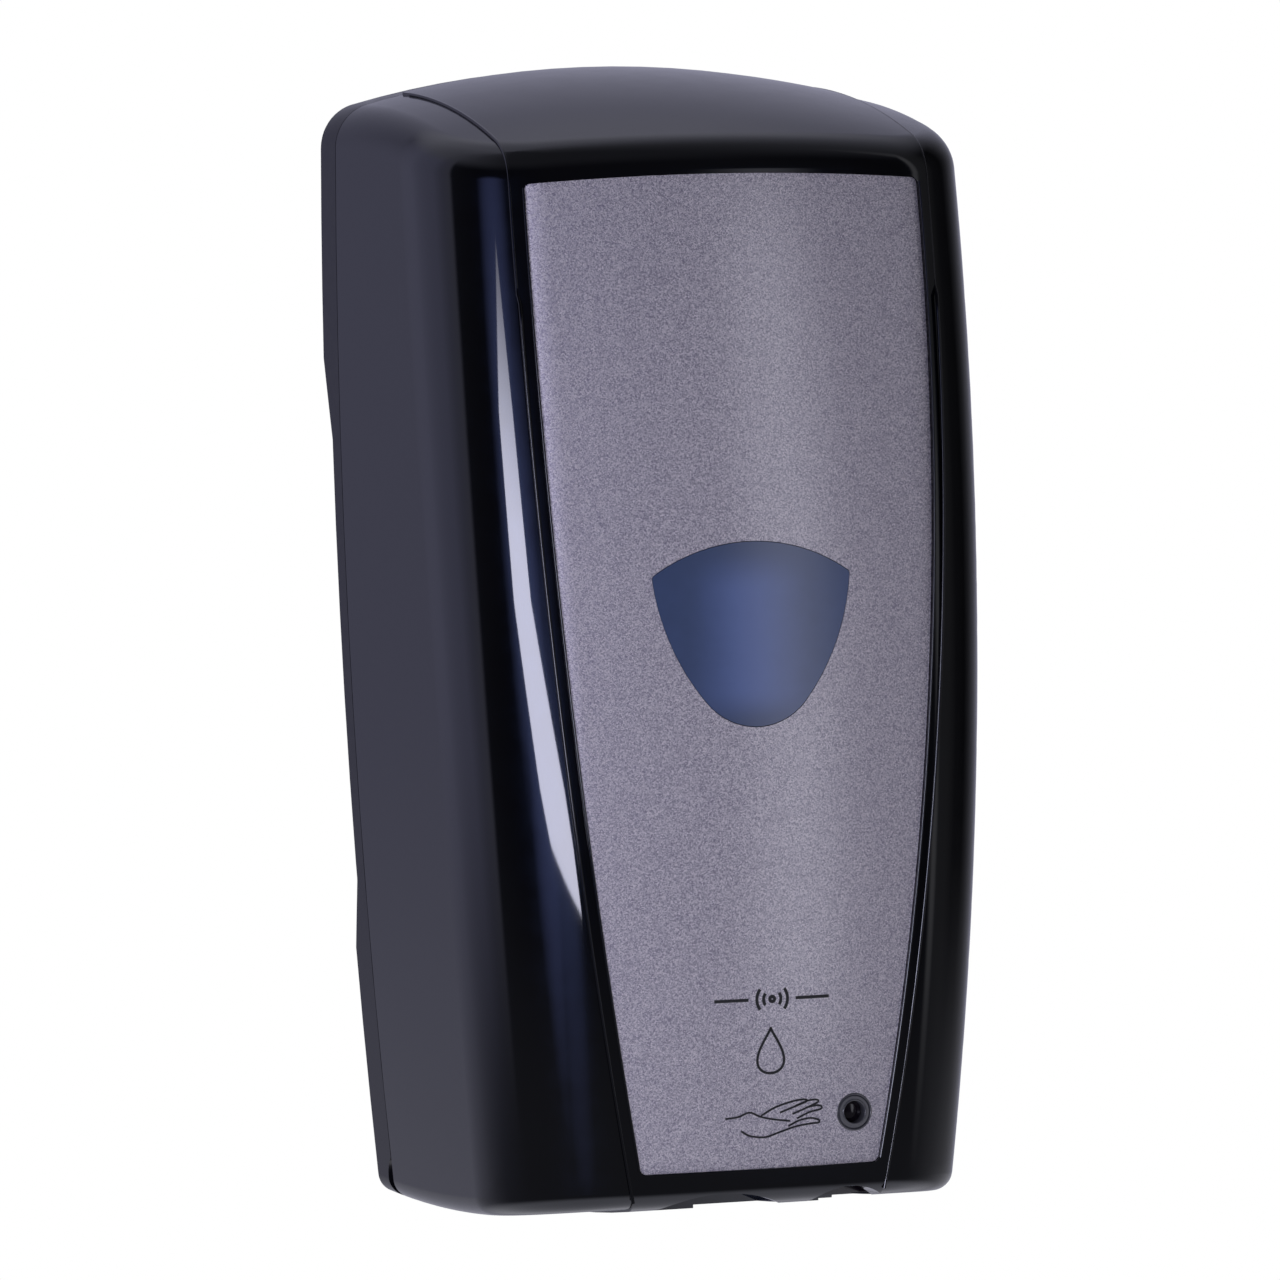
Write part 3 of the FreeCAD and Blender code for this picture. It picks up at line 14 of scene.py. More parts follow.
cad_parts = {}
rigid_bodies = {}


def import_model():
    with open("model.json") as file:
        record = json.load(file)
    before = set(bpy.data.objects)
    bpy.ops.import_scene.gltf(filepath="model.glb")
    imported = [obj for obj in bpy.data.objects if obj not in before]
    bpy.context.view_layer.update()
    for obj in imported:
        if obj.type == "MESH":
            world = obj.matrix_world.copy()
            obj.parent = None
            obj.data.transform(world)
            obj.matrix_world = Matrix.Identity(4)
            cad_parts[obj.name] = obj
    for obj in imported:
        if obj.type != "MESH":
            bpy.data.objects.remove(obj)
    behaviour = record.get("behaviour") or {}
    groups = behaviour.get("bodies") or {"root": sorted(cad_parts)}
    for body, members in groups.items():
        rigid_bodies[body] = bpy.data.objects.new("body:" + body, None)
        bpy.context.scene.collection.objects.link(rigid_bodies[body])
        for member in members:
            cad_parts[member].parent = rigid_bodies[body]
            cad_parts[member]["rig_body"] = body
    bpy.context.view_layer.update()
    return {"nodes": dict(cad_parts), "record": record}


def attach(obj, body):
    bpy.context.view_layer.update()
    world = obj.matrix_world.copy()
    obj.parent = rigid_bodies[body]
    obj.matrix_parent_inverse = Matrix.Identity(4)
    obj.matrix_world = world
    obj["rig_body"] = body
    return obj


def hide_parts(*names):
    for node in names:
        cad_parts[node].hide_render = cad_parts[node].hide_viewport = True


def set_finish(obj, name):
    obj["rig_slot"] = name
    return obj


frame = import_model()
MM = 0.001


# ---------------------------------------------------------------- camera

# Places in metres, the lens in millimetres.
CAMERA_AT = Vector((-0.855, -2.142, 0.1095))
CAMERA_AIM = Vector((-0.00837, -0.047, -0.00106))
CAMERA_ROLL = math.radians(1.0)
CAMERA_LENS = 267.2


def add_camera():
    data = bpy.data.cameras.new("camera")
    data.lens = CAMERA_LENS
    data.sensor_width = 36.0
    data.clip_start = 0.05
    data.clip_end = 40.0
    camera = bpy.data.objects.new("camera", data)
    bpy.context.scene.collection.objects.link(camera)
    forward = (CAMERA_AIM - CAMERA_AT).normalized()
    right = forward.cross(Vector((0, 0, 1))).normalized()
    up = right.cross(forward)
    tilted_up = math.sin(CAMERA_ROLL) * right + math.cos(CAMERA_ROLL) * up
    tilted_right = math.cos(CAMERA_ROLL) * right - math.sin(CAMERA_ROLL) * up
    turn = Matrix((tilted_right, tilted_up, -forward)).transposed()
    camera.matrix_world = Matrix.Translation(CAMERA_AT) @ turn.to_4x4()
    bpy.context.scene.camera = camera


add_camera()


# ---------------------------------------------------------------- node helpers

def new_node(tree, kind, **settings):
    made = tree.nodes.new(kind)
    for name, value in settings.items():
        setattr(made, name, value)
    return made


def feed(tree, socket, source):
    """Sets a socket to a value, or links it to another node's output."""
    if isinstance(source, bpy.types.NodeSocket):
        tree.links.new(source, socket)
    else:
        socket.default_value = source


def maths(tree, operation, *inputs):
    made = new_node(tree, "ShaderNodeMath", operation=operation)
    for socket, source in zip(made.inputs, inputs):
        feed(tree, socket, source)
    return made.outputs[0]


def fade(tree, source, low, high, start=0.0, end=1.0):
    """A smooth step of a value between two limits."""
    made = new_node(tree, "ShaderNodeMapRange", interpolation_type="SMOOTHSTEP")
    for socket, value in zip(made.inputs, (source, low, high, start, end)):
        feed(tree, socket, value)
    return made.outputs[0]


def mixed(tree, factor, first, second):
    made = new_node(tree, "ShaderNodeMix", data_type="RGBA")
    for name, source in (("Factor_Float", factor), ("A_Color", first), ("B_Color", second)):
        socket = next(s for s in made.inputs if s.identifier == name)
        feed(tree, socket, source)
    return next(s for s in made.outputs if s.identifier == "Result_Color")


def ramp(tree, factor, stops):
    made = new_node(tree, "ShaderNodeValToRGB")
    feed(tree, made.inputs[0], factor)
    elements = made.color_ramp.elements
    elements[0].position, elements[0].color = stops[0][0], (*stops[0][1], 1.0)
    elements[1].position, elements[1].color = stops[-1][0], (*stops[-1][1], 1.0)
    for position, colour in stops[1:-1]:
        elements.new(position).color = (*colour, 1.0)
    return made.outputs[0]


# ---------------------------------------------------------------- studio

def grey(level, blue=1.0):
    return (level, level, level * blue)


# The dim studio round the dispenser, as (azimuth in degrees, radiance). Azimuth 0 is in front, -90 on
# the left and 180 behind.
ROOM_LEVEL = (
    (-180, grey(0.24, 1.35)), (-160, grey(0.19, 1.45)), (-135, grey(0.50, 1.45)), (-106, grey(0.60, 1.45)),
    (-96, grey(0.46, 1.40)), (-88, grey(0.46, 1.30)), (-85, grey(0.05, 1.10)), (-60, grey(0.025, 1.30)),
    (-10, grey(0.03, 1.30)), (30, grey(0.05, 1.15)), (44, grey(0.025, 1.15)), (57, grey(0.03, 1.15)),
    (60, grey(0.55, 1.05)), (63, grey(0.50, 1.05)), (66, grey(0.13, 1.05)), (77, grey(0.10, 1.05)),
    (88, grey(0.03, 1.10)), (103, grey(0.01, 1.10)), (113, grey(0.05, 1.15)), (126, grey(0.13, 1.20)),
    (150, grey(0.30, 1.30)), (180, grey(0.24, 1.35)),
)
ROOM_HIGH = (
    (-180, grey(0.60, 1.20)), (-155, grey(0.66, 1.20)), (-106, grey(0.58, 1.20)), (-70, grey(0.30, 1.20)),
    (-30, grey(0.14, 1.15)), (35, grey(0.12, 1.15)), (75, grey(0.23, 1.15)), (110, grey(0.40, 1.20)),
    (136, grey(0.55, 1.20)), (180, grey(0.60, 1.20)),
)
ROOM_LOW = (
    (-180, grey(0.34, 1.20)), (-133, grey(0.30, 1.20)), (-106, grey(0.15, 1.20)), (-80, grey(0.12, 1.10)),
    (60, grey(0.12, 1.10)), (100, grey(0.30, 1.10)), (122, grey(0.33, 1.10)), (180, grey(0.34, 1.20)),
)
FLOOR_GLOW = (0.95, 0.95, 1.05)
# Elevations in degrees between which the upper room, the lower room and the bright floor take over.
UPPER_BAND, LOWER_BAND, FLOOR_BAND = (34, 58), (-4, -14), (-28, -52)
# The halo of the softbox on the wall behind it, as (azimuth, elevation, strength).
SOFTBOX_GLOW = ((-47.0, 9.0, 1.0), (-38.0, 1.0, 1.0), (-26.0, -3.5, 0.4))
GLOW_COLOUR, GLOW_SPREAD = (0.30, 0.36, 0.85), 15
# A weak upright lamp in front, right of the camera, in degrees: its middle, its half width, its reach down
# and up, and how softly it ends.
STRIP_AZIMUTH, STRIP_HALF, STRIP_LOW, STRIP_HIGH, STRIP_SOFT = 26.5, 8.0, -13.0, 19.0, 6.0
STRIP_COLOUR = (1.7, 1.7, 1.9)


def heading(azimuth, elevation):
    """The unit vector towards a direction, given in degrees."""
    a, e = math.radians(azimuth), math.radians(elevation)
    return Vector((math.sin(a) * math.cos(e), -math.cos(a) * math.cos(e), math.sin(e)))


def by_elevation(tree, height, first, last):
    """A smooth step of a direction's height between two elevations in degrees."""
    return fade(tree, height, math.sin(math.radians(first)), math.sin(math.radians(last)))


def add_room_light():
    world = bpy.data.worlds.new("studio")
    bpy.context.scene.world = world
    world.use_nodes = True
    tree = world.node_tree
    direction = new_node(tree, "ShaderNodeTexCoord").outputs["Generated"]
    parts = new_node(tree, "ShaderNodeSeparateXYZ")
    feed(tree, parts.inputs[0], direction)
    x, y, z = parts.outputs
    turn = maths(tree, "ARCTAN2", x, maths(tree, "MULTIPLY", y, -1.0))
    share = maths(tree, "MULTIPLY_ADD", turn, 0.5 / math.pi, 0.5)
    level, high, low = (ramp(tree, share, [((azimuth + 180) / 360, colour) for azimuth, colour in stops])
                        for stops in (ROOM_LEVEL, ROOM_HIGH, ROOM_LOW))
    colour = mixed(tree, by_elevation(tree, z, *UPPER_BAND), level, high)
    colour = mixed(tree, by_elevation(tree, z, *LOWER_BAND), colour, low)
    colour = mixed(tree, by_elevation(tree, z, *FLOOR_BAND), colour, (*FLOOR_GLOW, 1.0))
    glow = 0.0
    for azimuth, elevation, strength in SOFTBOX_GLOW:
        aligned = new_node(tree, "ShaderNodeVectorMath", operation="DOT_PRODUCT")
        feed(tree, aligned.inputs[0], direction)
        feed(tree, aligned.inputs[1], heading(azimuth, elevation))
        near = fade(tree, aligned.outputs["Value"], math.cos(math.radians(GLOW_SPREAD)), 1.0, 0.0, strength)
        glow = maths(tree, "MAXIMUM", glow, near)
    off_strip = maths(tree, "ABSOLUTE", maths(tree, "SUBTRACT", turn, math.radians(STRIP_AZIMUTH)))
    strip = fade(tree, off_strip, 0.0, math.radians(STRIP_HALF), 1.0, 0.0)
    for edge, soft in ((STRIP_LOW, STRIP_SOFT), (STRIP_HIGH, -STRIP_SOFT)):
        inside = by_elevation(tree, z, edge, edge + soft)
        strip = maths(tree, "MULTIPLY", strip, inside)
    for tint, amount in ((GLOW_COLOUR, glow), (STRIP_COLOUR, strip)):
        lit = new_node(tree, "ShaderNodeVectorMath", operation="SCALE")
        feed(tree, lit.inputs[0], tint)
        feed(tree, lit.inputs["Scale"], amount)
        total = new_node(tree, "ShaderNodeVectorMath", operation="ADD")
        feed(tree, total.inputs[0], colour)
        feed(tree, total.inputs[1], lit.outputs[0])
        colour = total.outputs[0]
    feed(tree, tree.nodes["Background"].inputs["Color"], colour)


def glowing(name, colour, strength, dimmed=None):
    """A material that only gives light. dimmed is (full height, dim height, dim share) on the card."""
    made = bpy.data.materials.new(name)
    made.use_nodes = True
    tree = made.node_tree
    tree.nodes.clear()
    lamp = new_node(tree, "ShaderNodeEmission")
    feed(tree, lamp.inputs["Color"], (*colour, 1.0))
    if dimmed is not None:
        full, dim, share = dimmed
        parts = new_node(tree, "ShaderNodeSeparateXYZ")
        feed(tree, parts.inputs[0], new_node(tree, "ShaderNodeTexCoord").outputs["Object"])
        strength = fade(tree, parts.outputs[2], full, dim, strength, strength * share)
    feed(tree, lamp.inputs["Strength"], strength)
    output = new_node(tree, "ShaderNodeOutputMaterial")
    feed(tree, output.inputs["Surface"], lamp.outputs[0])
    return made


def new_mesh(name, points, faces):
    mesh = bpy.data.meshes.new(name)
    mesh.from_pydata([tuple(p) for p in points], [], faces)
    mesh.update()
    made = bpy.data.objects.new(name, mesh)
    bpy.context.scene.collection.objects.link(made)
    return made


def seen_only_by_camera(thing):
    for ray in ("diffuse", "glossy", "transmission", "volume_scatter", "shadow"):
        setattr(thing, f"visible_{ray}", False)


# The softbox card: its distance, its corners as (azimuth, elevation), and its dimming towards the top.
SOFTBOX_AWAY = 5.2
SOFTBOX_OUTLINE = ((-46, 14), (-53, 8), (-51, 2.3), (-40, -3), (-34, -4.7), (-11.5, -6.6), (-14.5, -4.3),
                   (-18.4, -2.5), (-35.8, 3.2), (-40.5, 9))
SOFTBOX_FADE = (0.35, 1.35, 0.15)
BACKDROP_RADIUS = 6.0
FLOOR_LEVEL = -2.8


def add_softbox():
    """The strip light at the front left, which draws the long streak down the rounded corner."""
    corners = [heading(*corner) * SOFTBOX_AWAY for corner in SOFTBOX_OUTLINE]
    card = new_mesh("softbox", corners, [tuple(range(len(corners)))])
    card.data.materials.append(glowing("softbox_light", (1.0, 1.0, 1.22), 13.0, SOFTBOX_FADE))
    card.visible_camera = False


def add_backdrop():
    bpy.ops.mesh.primitive_uv_sphere_add(segments=48, ring_count=24, radius=BACKDROP_RADIUS)
    dome = bpy.context.object
    dome.name = "backdrop"
    dome.data.materials.append(glowing("backdrop_white", (1.0, 1.0, 1.0), 1.0))
    bpy.ops.mesh.primitive_circle_add(vertices=96, radius=BACKDROP_RADIUS * 0.86, fill_type="NGON",
                                      location=(0, 0, FLOOR_LEVEL))
    floor = bpy.context.object
    floor.name = "floor"
    floor.data.materials.append(glowing("floor_pale", (0.93, 0.93, 0.94), 1.0))
    for thing in (dome, floor):
        seen_only_by_camera(thing)


add_room_light()
add_softbox()
add_backdrop()
bpy.context.scene.view_settings.view_transform = "Standard"


# ---------------------------------------------------------------- the outer form

# The driving sizes of the outer form, in millimetres, as the parts have them.
HALF_WIDTH, SIDE_RADIUS, WIDEST_LEVEL = 70.0, 2180.0, 79.5
TOP_LEVEL, BOTTOM_LEVEL, DEPTH = 135.5, -135.5, 99.5
FRONT_RADIUS, FORWARD_LEVEL, FRONT_BOW = 1000.0, -50.5, 300.0
CROWN_RADIUS, FOOT_RADIUS, FOOT_START = 200.0, 500.0, 30.0
CORNER_RADIUS, SHOULDER_RADIUS, HEM_RADIUS = 30.0, 11.0, 5.0
TOP_STATIONS = ((-6.0, 240.0), (30.0, 265.0), (62.0, 320.0), (94.0, 420.0), (120.0, 480.0))
ARCH = np.polyfit(*zip(*TOP_STATIONS), 4)
BOW_AXIS = FRONT_BOW - DEPTH
BAND_PROUD, PANEL_HALF, PANEL_SIDE_RADIUS, PANEL_LEVEL, BAND_MARGIN = 0.6, 49.9, 1200.0, 94.0, 3.0
# How far inwards each skin lies: the outer form, the hollow, the proud band, its rebate and the panel's back.
SKIN_INSETS = (0.0, 2.6, -0.6, 1.8, 1.2)


def fall(radius, distance):
    return radius - np.sqrt(np.maximum(radius * radius - distance * distance, 0.0))


def front_at(x, z, proud=0.0):
    """Y of the bowed front at a place, stood proud of the cover by that much."""
    depth = DEPTH + proud - fall(FRONT_RADIUS + proud, z - FORWARD_LEVEL)
    return BOW_AXIS - np.sqrt((BOW_AXIS + depth) ** 2 - x * x)


def panel_half(level, margin=0.0):
    return PANEL_HALF + margin - fall(PANEL_SIDE_RADIUS + margin, level - PANEL_LEVEL)


def unit(*parts):
    stacked = np.stack(np.broadcast_arrays(*parts), -1).astype(float)
    return stacked / np.linalg.norm(stacked, axis=-1, keepdims=True)


def rounded(first, first_normal, second, second_normal, radius):
    """Distance to and normal of two surfaces joined by a rolling ball of that radius."""
    lean = (first_normal * second_normal).sum(-1)
    u, v = first + radius, second + radius
    across, along, share = u - lean * v, v - lean * u, 1 - lean * lean
    on_ball = (across > 0) & (along > 0)
    reach = np.sqrt(np.maximum((u * u + v * v - 2 * lean * u * v) / share, 1e-12))
    ball = ((across / share)[..., None] * first_normal + (along / share)[..., None] * second_normal)
    nearer = np.where(first > second, 1.0, 0.0)[..., None]
    plain = nearer * first_normal + (1 - nearer) * second_normal
    normal = np.where(on_ball[..., None], ball / reach[..., None], plain)
    return np.where(on_ball, reach - radius, np.maximum(first, second)), normal


def skin(points, inset):
    """Signed distance to the outer form, moved inwards by the inset, and its unit normal."""
    x, y, z = points[..., 0], points[..., 1], points[..., 2]
    across = np.abs(x)
    half = HALF_WIDTH - inset - fall(SIDE_RADIUS - inset, z - WIDEST_LEVEL)
    bow = BOW_AXIS + DEPTH - inset - fall(FRONT_RADIUS - inset, z - FORWARD_LEVEL)
    radius = CORNER_RADIUS - inset
    corner_x = half - radius
    corner_y = BOW_AXIS - np.sqrt((bow - radius) ** 2 - corner_x ** 2)
    out = np.sqrt(x * x + (y - BOW_AXIS) ** 2)
    dx, dy = across - corner_x, y - corner_y
    from_corner = np.maximum(np.sqrt(dx * dx + dy * dy), 1e-9)
    edge_x, edge_y = corner_x / (bow - radius), (corner_y - BOW_AXIS) / (bow - radius)
    on_corner = (dy < 0) & (dx * edge_y - dy * edge_x < 0)
    side, front = across - half, out - bow
    nearest = np.where(side > front, side, front)
    distance = np.where(on_corner, from_corner - radius, nearest)
    normal_x = np.where(on_corner, dx / from_corner, np.where(side > front, 1.0, across / out))
    normal_y = np.where(on_corner, dy / from_corner, np.where(side > front, 0.0, (y - BOW_AXIS) / out))
    frontal = np.clip(-normal_y, 0, 1)
    lean = (z - WIDEST_LEVEL) / SIDE_RADIUS * (1 - frontal) + (z - FORWARD_LEVEL) / FRONT_RADIUS * frontal
    distance = distance / np.sqrt(1 + lean * lean)
    wall_normal = unit(normal_x * np.where(x < 0, -1.0, 1.0), normal_y, lean)

    away = np.clip(-y, TOP_STATIONS[0][0], TOP_STATIONS[-1][0])
    arch = np.polyval(ARCH, away) - inset
    root = np.sqrt(arch * arch - x * x)
    ahead = np.maximum(away, 0)
    flattening = np.polyval(np.polyder(ARCH), away) * (1 - arch / root)
    slope = ahead / np.sqrt(CROWN_RADIUS ** 2 - ahead ** 2) + flattening
    top = TOP_LEVEL - inset - fall(CROWN_RADIUS, ahead) - fall(arch, x)
    top_normal = unit(x / root, -slope, np.ones_like(x))
    base = BOTTOM_LEVEL + inset + fall(FOOT_RADIUS, y + FOOT_START)
    rise = (y + FOOT_START) / np.sqrt(FOOT_RADIUS ** 2 - (y + FOOT_START) ** 2)
    base_normal = unit(np.zeros_like(x), rise, -np.ones_like(x))
    distance, normal = rounded(distance, wall_normal, (z - top) * top_normal[..., 2], top_normal,
                               SHOULDER_RADIUS - inset)
    distance, normal = rounded(distance, normal, (base - z) * -base_normal[..., 2], base_normal,
                               HEM_RADIUS - inset)
    return distance, normal / np.linalg.norm(normal, axis=-1, keepdims=True)


WELD_DISTANCE = 2e-6
SHARP_EDGE = math.radians(30)


def merged_copy(node, name):
    """A copy of a CAD node's mesh whose faces share their corners, so that it can be shaded smoothly."""
    source = frame["nodes"][node]
    mesh = source.data.copy()
    made = bpy.data.objects.new(name, mesh)
    bpy.context.scene.collection.objects.link(made)
    bpy.context.view_layer.objects.active = made
    made.select_set(True)
    bpy.ops.object.mode_set(mode="EDIT")
    bpy.ops.mesh.customdata_custom_splitnormals_clear()
    bpy.ops.mesh.select_all(action="SELECT")
    bpy.ops.mesh.remove_doubles(threshold=WELD_DISTANCE)
    bpy.ops.object.mode_set(mode="OBJECT")
    made.select_set(False)
    mesh.shade_smooth()
    mesh.set_sharp_from_angle(angle=SHARP_EDGE)
    return made


def array_of(collection, attribute, width, kind=float):
    values = np.zeros(len(collection) * width, kind)
    collection.foreach_get(attribute, values)
    return values.reshape(-1, width) if width > 1 else values


# How near to a skin, in millimetres, and how nearly parallel to it a corner is to take the skin's normal.
ON_SKIN, FACING = 0.2, 0.95


def polished(node):
    """A new piece for a node of the outside, shaded with the exact normals of the outer form."""
    made = merged_copy(node, f"{node}_polished")
    mesh = made.data
    normals = array_of(mesh.corner_normals, "vector", 3)
    places = array_of(mesh.vertices, "co", 3)[array_of(mesh.loops, "vertex_index", 1, int)] / MM
    sizes = array_of(mesh.polygons, "loop_total", 1, int)
    facing = np.repeat(array_of(mesh.polygons, "normal", 3), sizes, axis=0)
    settled = np.zeros(len(places), bool)
    for inset in SKIN_INSETS:
        distance, exact = skin(places, inset)
        along = (facing * exact).sum(-1)
        exact = np.where((along < 0)[:, None], -exact, exact)
        found = ~settled & (np.abs(distance) < ON_SKIN) & (np.abs(along) > FACING)
        normals[found] = exact[found]
        settled |= found
    mesh.normals_split_custom_set(normals.tolist())
    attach(made, frame["nodes"][node]["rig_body"])
    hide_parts(node)
    return made


SKIN_SLOTS = {"cover_shell": "black_gloss", "centre_band": "black_gloss", "face_panel": "panel_silver",
              "sight_window": "smoke_window", "rear_housing": "black_satin"}
for node_name, slot_name in SKIN_SLOTS.items():
    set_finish(polished(node_name), slot_name)


# ---------------------------------------------------------------- rounded seams of the centre band

# The seam's round bar runs up the front to SEAM_BEND, then over the top, found by rays from SEAM_PIVOT
# that turn through SEAM_TURN degrees. SEAM_PROUD is how far its middle stands off the cover.
SEAM_BEAD, SEAM_PROUD = 0.42, 0.25
SEAM_LOW, SEAM_BEND, SEAM_PIVOT, SEAM_TURN = -130.0, 80.0, (-40.0, 84.0), (184, 62)
RAY_REACH, HALVINGS = (10.0, 90.0), 40
LIP_BEAD, LIP_OFF, LIP_SUNK, LIP_LOW, LIP_HIGH = 0.3, 0.45, 0.05, -122.5, 107.0
BEAD_SHARP_EDGE = math.radians(50)


def surface_point(x_at, angle, inset):
    """Where a ray from the middle of the dispenser's upper part, in a plane across X, leaves the form."""
    y0, z0 = SEAM_PIVOT
    near, far = RAY_REACH
    for _ in range(HALVINGS):
        reach = (near + far) / 2
        y, z = y0 + reach * math.cos(angle), z0 + reach * math.sin(angle)
        outside = skin(np.array([[x_at(z), y, z]]), inset)[0][0] > 0
        near, far = (near, reach) if outside else (reach, far)
    return np.array([x_at(z), y, z])


def tube(name, line, radius, sides=10, ring=False):
    """A round bar along a line of points in millimetres, with flat ends or bent round to a ring."""
    line = [np.array(p, float) for p in line]
    count = len(line)
    points, faces = [], []
    across = np.array((1.0, 0.0, 0.0))
    for number, place in enumerate(line):
        if ring:
            along = line[(number + 1) % count] - line[number - 1]
            across = place - sum(line) / count
        else:
            along = line[min(number + 1, count - 1)] - line[max(number - 1, 0)]
        along = along / np.linalg.norm(along)
        first = across - along * across.dot(along)
        first = first / np.linalg.norm(first)
        second = np.cross(along, first)
        across = first
        for k in range(sides):
            turn = 2 * math.pi * k / sides
            points.append(tuple((place + radius * (math.cos(turn) * first + math.sin(turn) * second)) * MM))
    for number in range(count if ring else count - 1):
        near, far = number * sides, (number + 1) % count * sides
        for k in range(sides):
            following = (k + 1) % sides
            faces.append((near + k, near + following, far + following, far + k))
    if not ring:
        faces.append(tuple(reversed(range(sides))))
        faces.append(tuple((count - 1) * sides + k for k in range(sides)))
    made = new_mesh(name, points, faces)
    made.data.shade_smooth()
    made.data.set_sharp_from_angle(angle=BEAD_SHARP_EDGE)
    return made


def side_name(side):
    return "left" if side < 0 else "right"


def seam_bead(side):
    """The rounded edge where the raised centre band meets the cover, up the front and over the top."""
    def x_at(level):
        return side * (panel_half(level, BAND_MARGIN) + 0.05)

    front = [np.array([x_at(z), front_at(x_at(z), z, SEAM_PROUD), z])
             for z in np.linspace(SEAM_LOW, SEAM_BEND, 56)]
    top = [surface_point(x_at, math.radians(angle), -SEAM_PROUD) for angle in np.linspace(*SEAM_TURN, 64)]
    over = [place for place in top if place[2] > SEAM_BEND + 1]
    bead = tube(f"seam_bead_{side_name(side)}", front + over, SEAM_BEAD)
    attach(bead, "cover")
    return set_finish(bead, "black_gloss")


def panel_bead(side):
    """The fine raised lip beside the face panel."""
    line = []
    for z in np.linspace(LIP_LOW, LIP_HIGH, 60):
        x = panel_half(z) + LIP_OFF
        line.append((side * x, front_at(x, z, BAND_PROUD - LIP_SUNK), z))
    bead = tube(f"panel_lip_{side_name(side)}", line, LIP_BEAD)
    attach(bead, "cover")
    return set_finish(bead, "black_gloss")


INDICATOR, INDICATOR_PROUD = (23.7, -111.3), 0.3
# Each rim's radius, its depth behind the bezel's face and the radius of its bar.
INDICATOR_RIMS = {"indicator_inner_rim": (2.85, 0.02, 0.24), "indicator_outer_rim": (4.25, 0.2, 0.24)}


def indicator_rim(name, radius, depth, bead):
    """A fine rounded rim on the indicator's bezel."""
    x, z = INDICATOR
    face = front_at(x, z) - INDICATOR_PROUD
    angles = np.linspace(0, 2 * math.pi, 48, endpoint=False)
    line = [(x + radius * math.cos(a), face + depth, z + radius * math.sin(a)) for a in angles]
    rim = tube(name, line, bead, 8, ring=True)
    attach(rim, "cover")
    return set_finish(rim, "bezel_grey")


for hand in (-1, 1):
    seam_bead(hand)
    panel_bead(hand)
for rim_name, measures in INDICATOR_RIMS.items():
    indicator_rim(rim_name, *measures)


# ---------------------------------------------------------------- printed marks on the face panel

INK_PROUD, INK_SUNK = 0.07, 0.12


def smooth_line(points, steps=8, closed=False):
    """A smooth curve through a few points, by the Catmull-Rom rule."""
    points = [np.array(p, float) for p in points]
    count = len(points)
    line = []
    for number in range(count if closed else count - 1):
        if closed:
            p0, p1, p2, p3 = (points[(number + k) % count] for k in (-1, 0, 1, 2))
        else:
            p0, p1, p2, p3 = (points[min(max(number + k, 0), count - 1)] for k in (-1, 0, 1, 2))
        for step in range(steps):
            t = step / steps
            line.append(0.5 * (2 * p1 + (p2 - p0) * t + (2 * p0 - 5 * p1 + 4 * p2 - p3) * t ** 2
                               + (3 * p1 - p0 - 3 * p2 + p3) * t ** 3))
    if not closed:
        line.append(points[-1])
    return line


def arc_line(centre, radius, first, last, steps=16):
    angles = np.radians(np.linspace(first, last, steps + 1))
    return [(centre[0] + radius * math.cos(a), centre[1] + radius * math.sin(a)) for a in angles]


def stroke(line, width, closed=False):
    """Corners and faces of a thin closed ribbon of ink along a line on the bowed front."""
    line = [np.array(p, float) for p in line]
    count = len(line)
    points, faces = [], []
    for number, place in enumerate(line):
        if closed:
            before, after = line[number - 1], line[(number + 1) % count]
        else:
            before, after = line[max(number - 1, 0)], line[min(number + 1, count - 1)]
        along = (after - before) / np.linalg.norm(after - before)
        left = np.array((-along[1], along[0])) * width / 2
        for spot, proud in ((place + left, INK_PROUD), (place - left, INK_PROUD),
                            (place - left, -INK_SUNK), (place + left, -INK_SUNK)):
            points.append((spot[0] * MM, front_at(*spot, proud) * MM, spot[1] * MM))
    spans = count if closed else count - 1
    for number in range(spans):
        near, far = 4 * number, 4 * ((number + 1) % count)
        for k in range(4):
            following = (k + 1) % 4
            faces.append((near + k, far + k, far + following, near + following))
    if not closed:
        faces.append((0, 1, 2, 3))
        end = 4 * (count - 1)
        faces.append((end + 3, end + 2, end + 1, end))
    return points, faces


def inked(name, strokes):
    """One piece made of several strokes, each a (line, width, closed)."""
    points, faces = [], []
    for line, width, closed in strokes:
        more_points, more_faces = stroke(line, width, closed)
        start = len(points)
        points += more_points
        faces += [tuple(start + k for k in face) for face in more_faces]
    made = new_mesh(name, points, faces)
    bpy.context.view_layer.objects.active = made
    made.select_set(True)
    bpy.ops.object.mode_set(mode="EDIT")
    bpy.ops.mesh.select_all(action="SELECT")
    bpy.ops.mesh.normals_make_consistent(inside=False)
    bpy.ops.object.mode_set(mode="OBJECT")
    made.select_set(False)
    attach(made, "cover")
    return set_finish(made, "component_black")


def drop_outline():
    """A teardrop, pointed at the top."""
    half_height, spread = 5.35, 4.85
    turns = np.linspace(0, 2 * math.pi, 48, endpoint=False)
    return [(2.0 - spread * math.sin(t) * abs(math.sin(t / 2)) ** 1.5, -95.6 + half_height * math.cos(t))
            for t in turns]


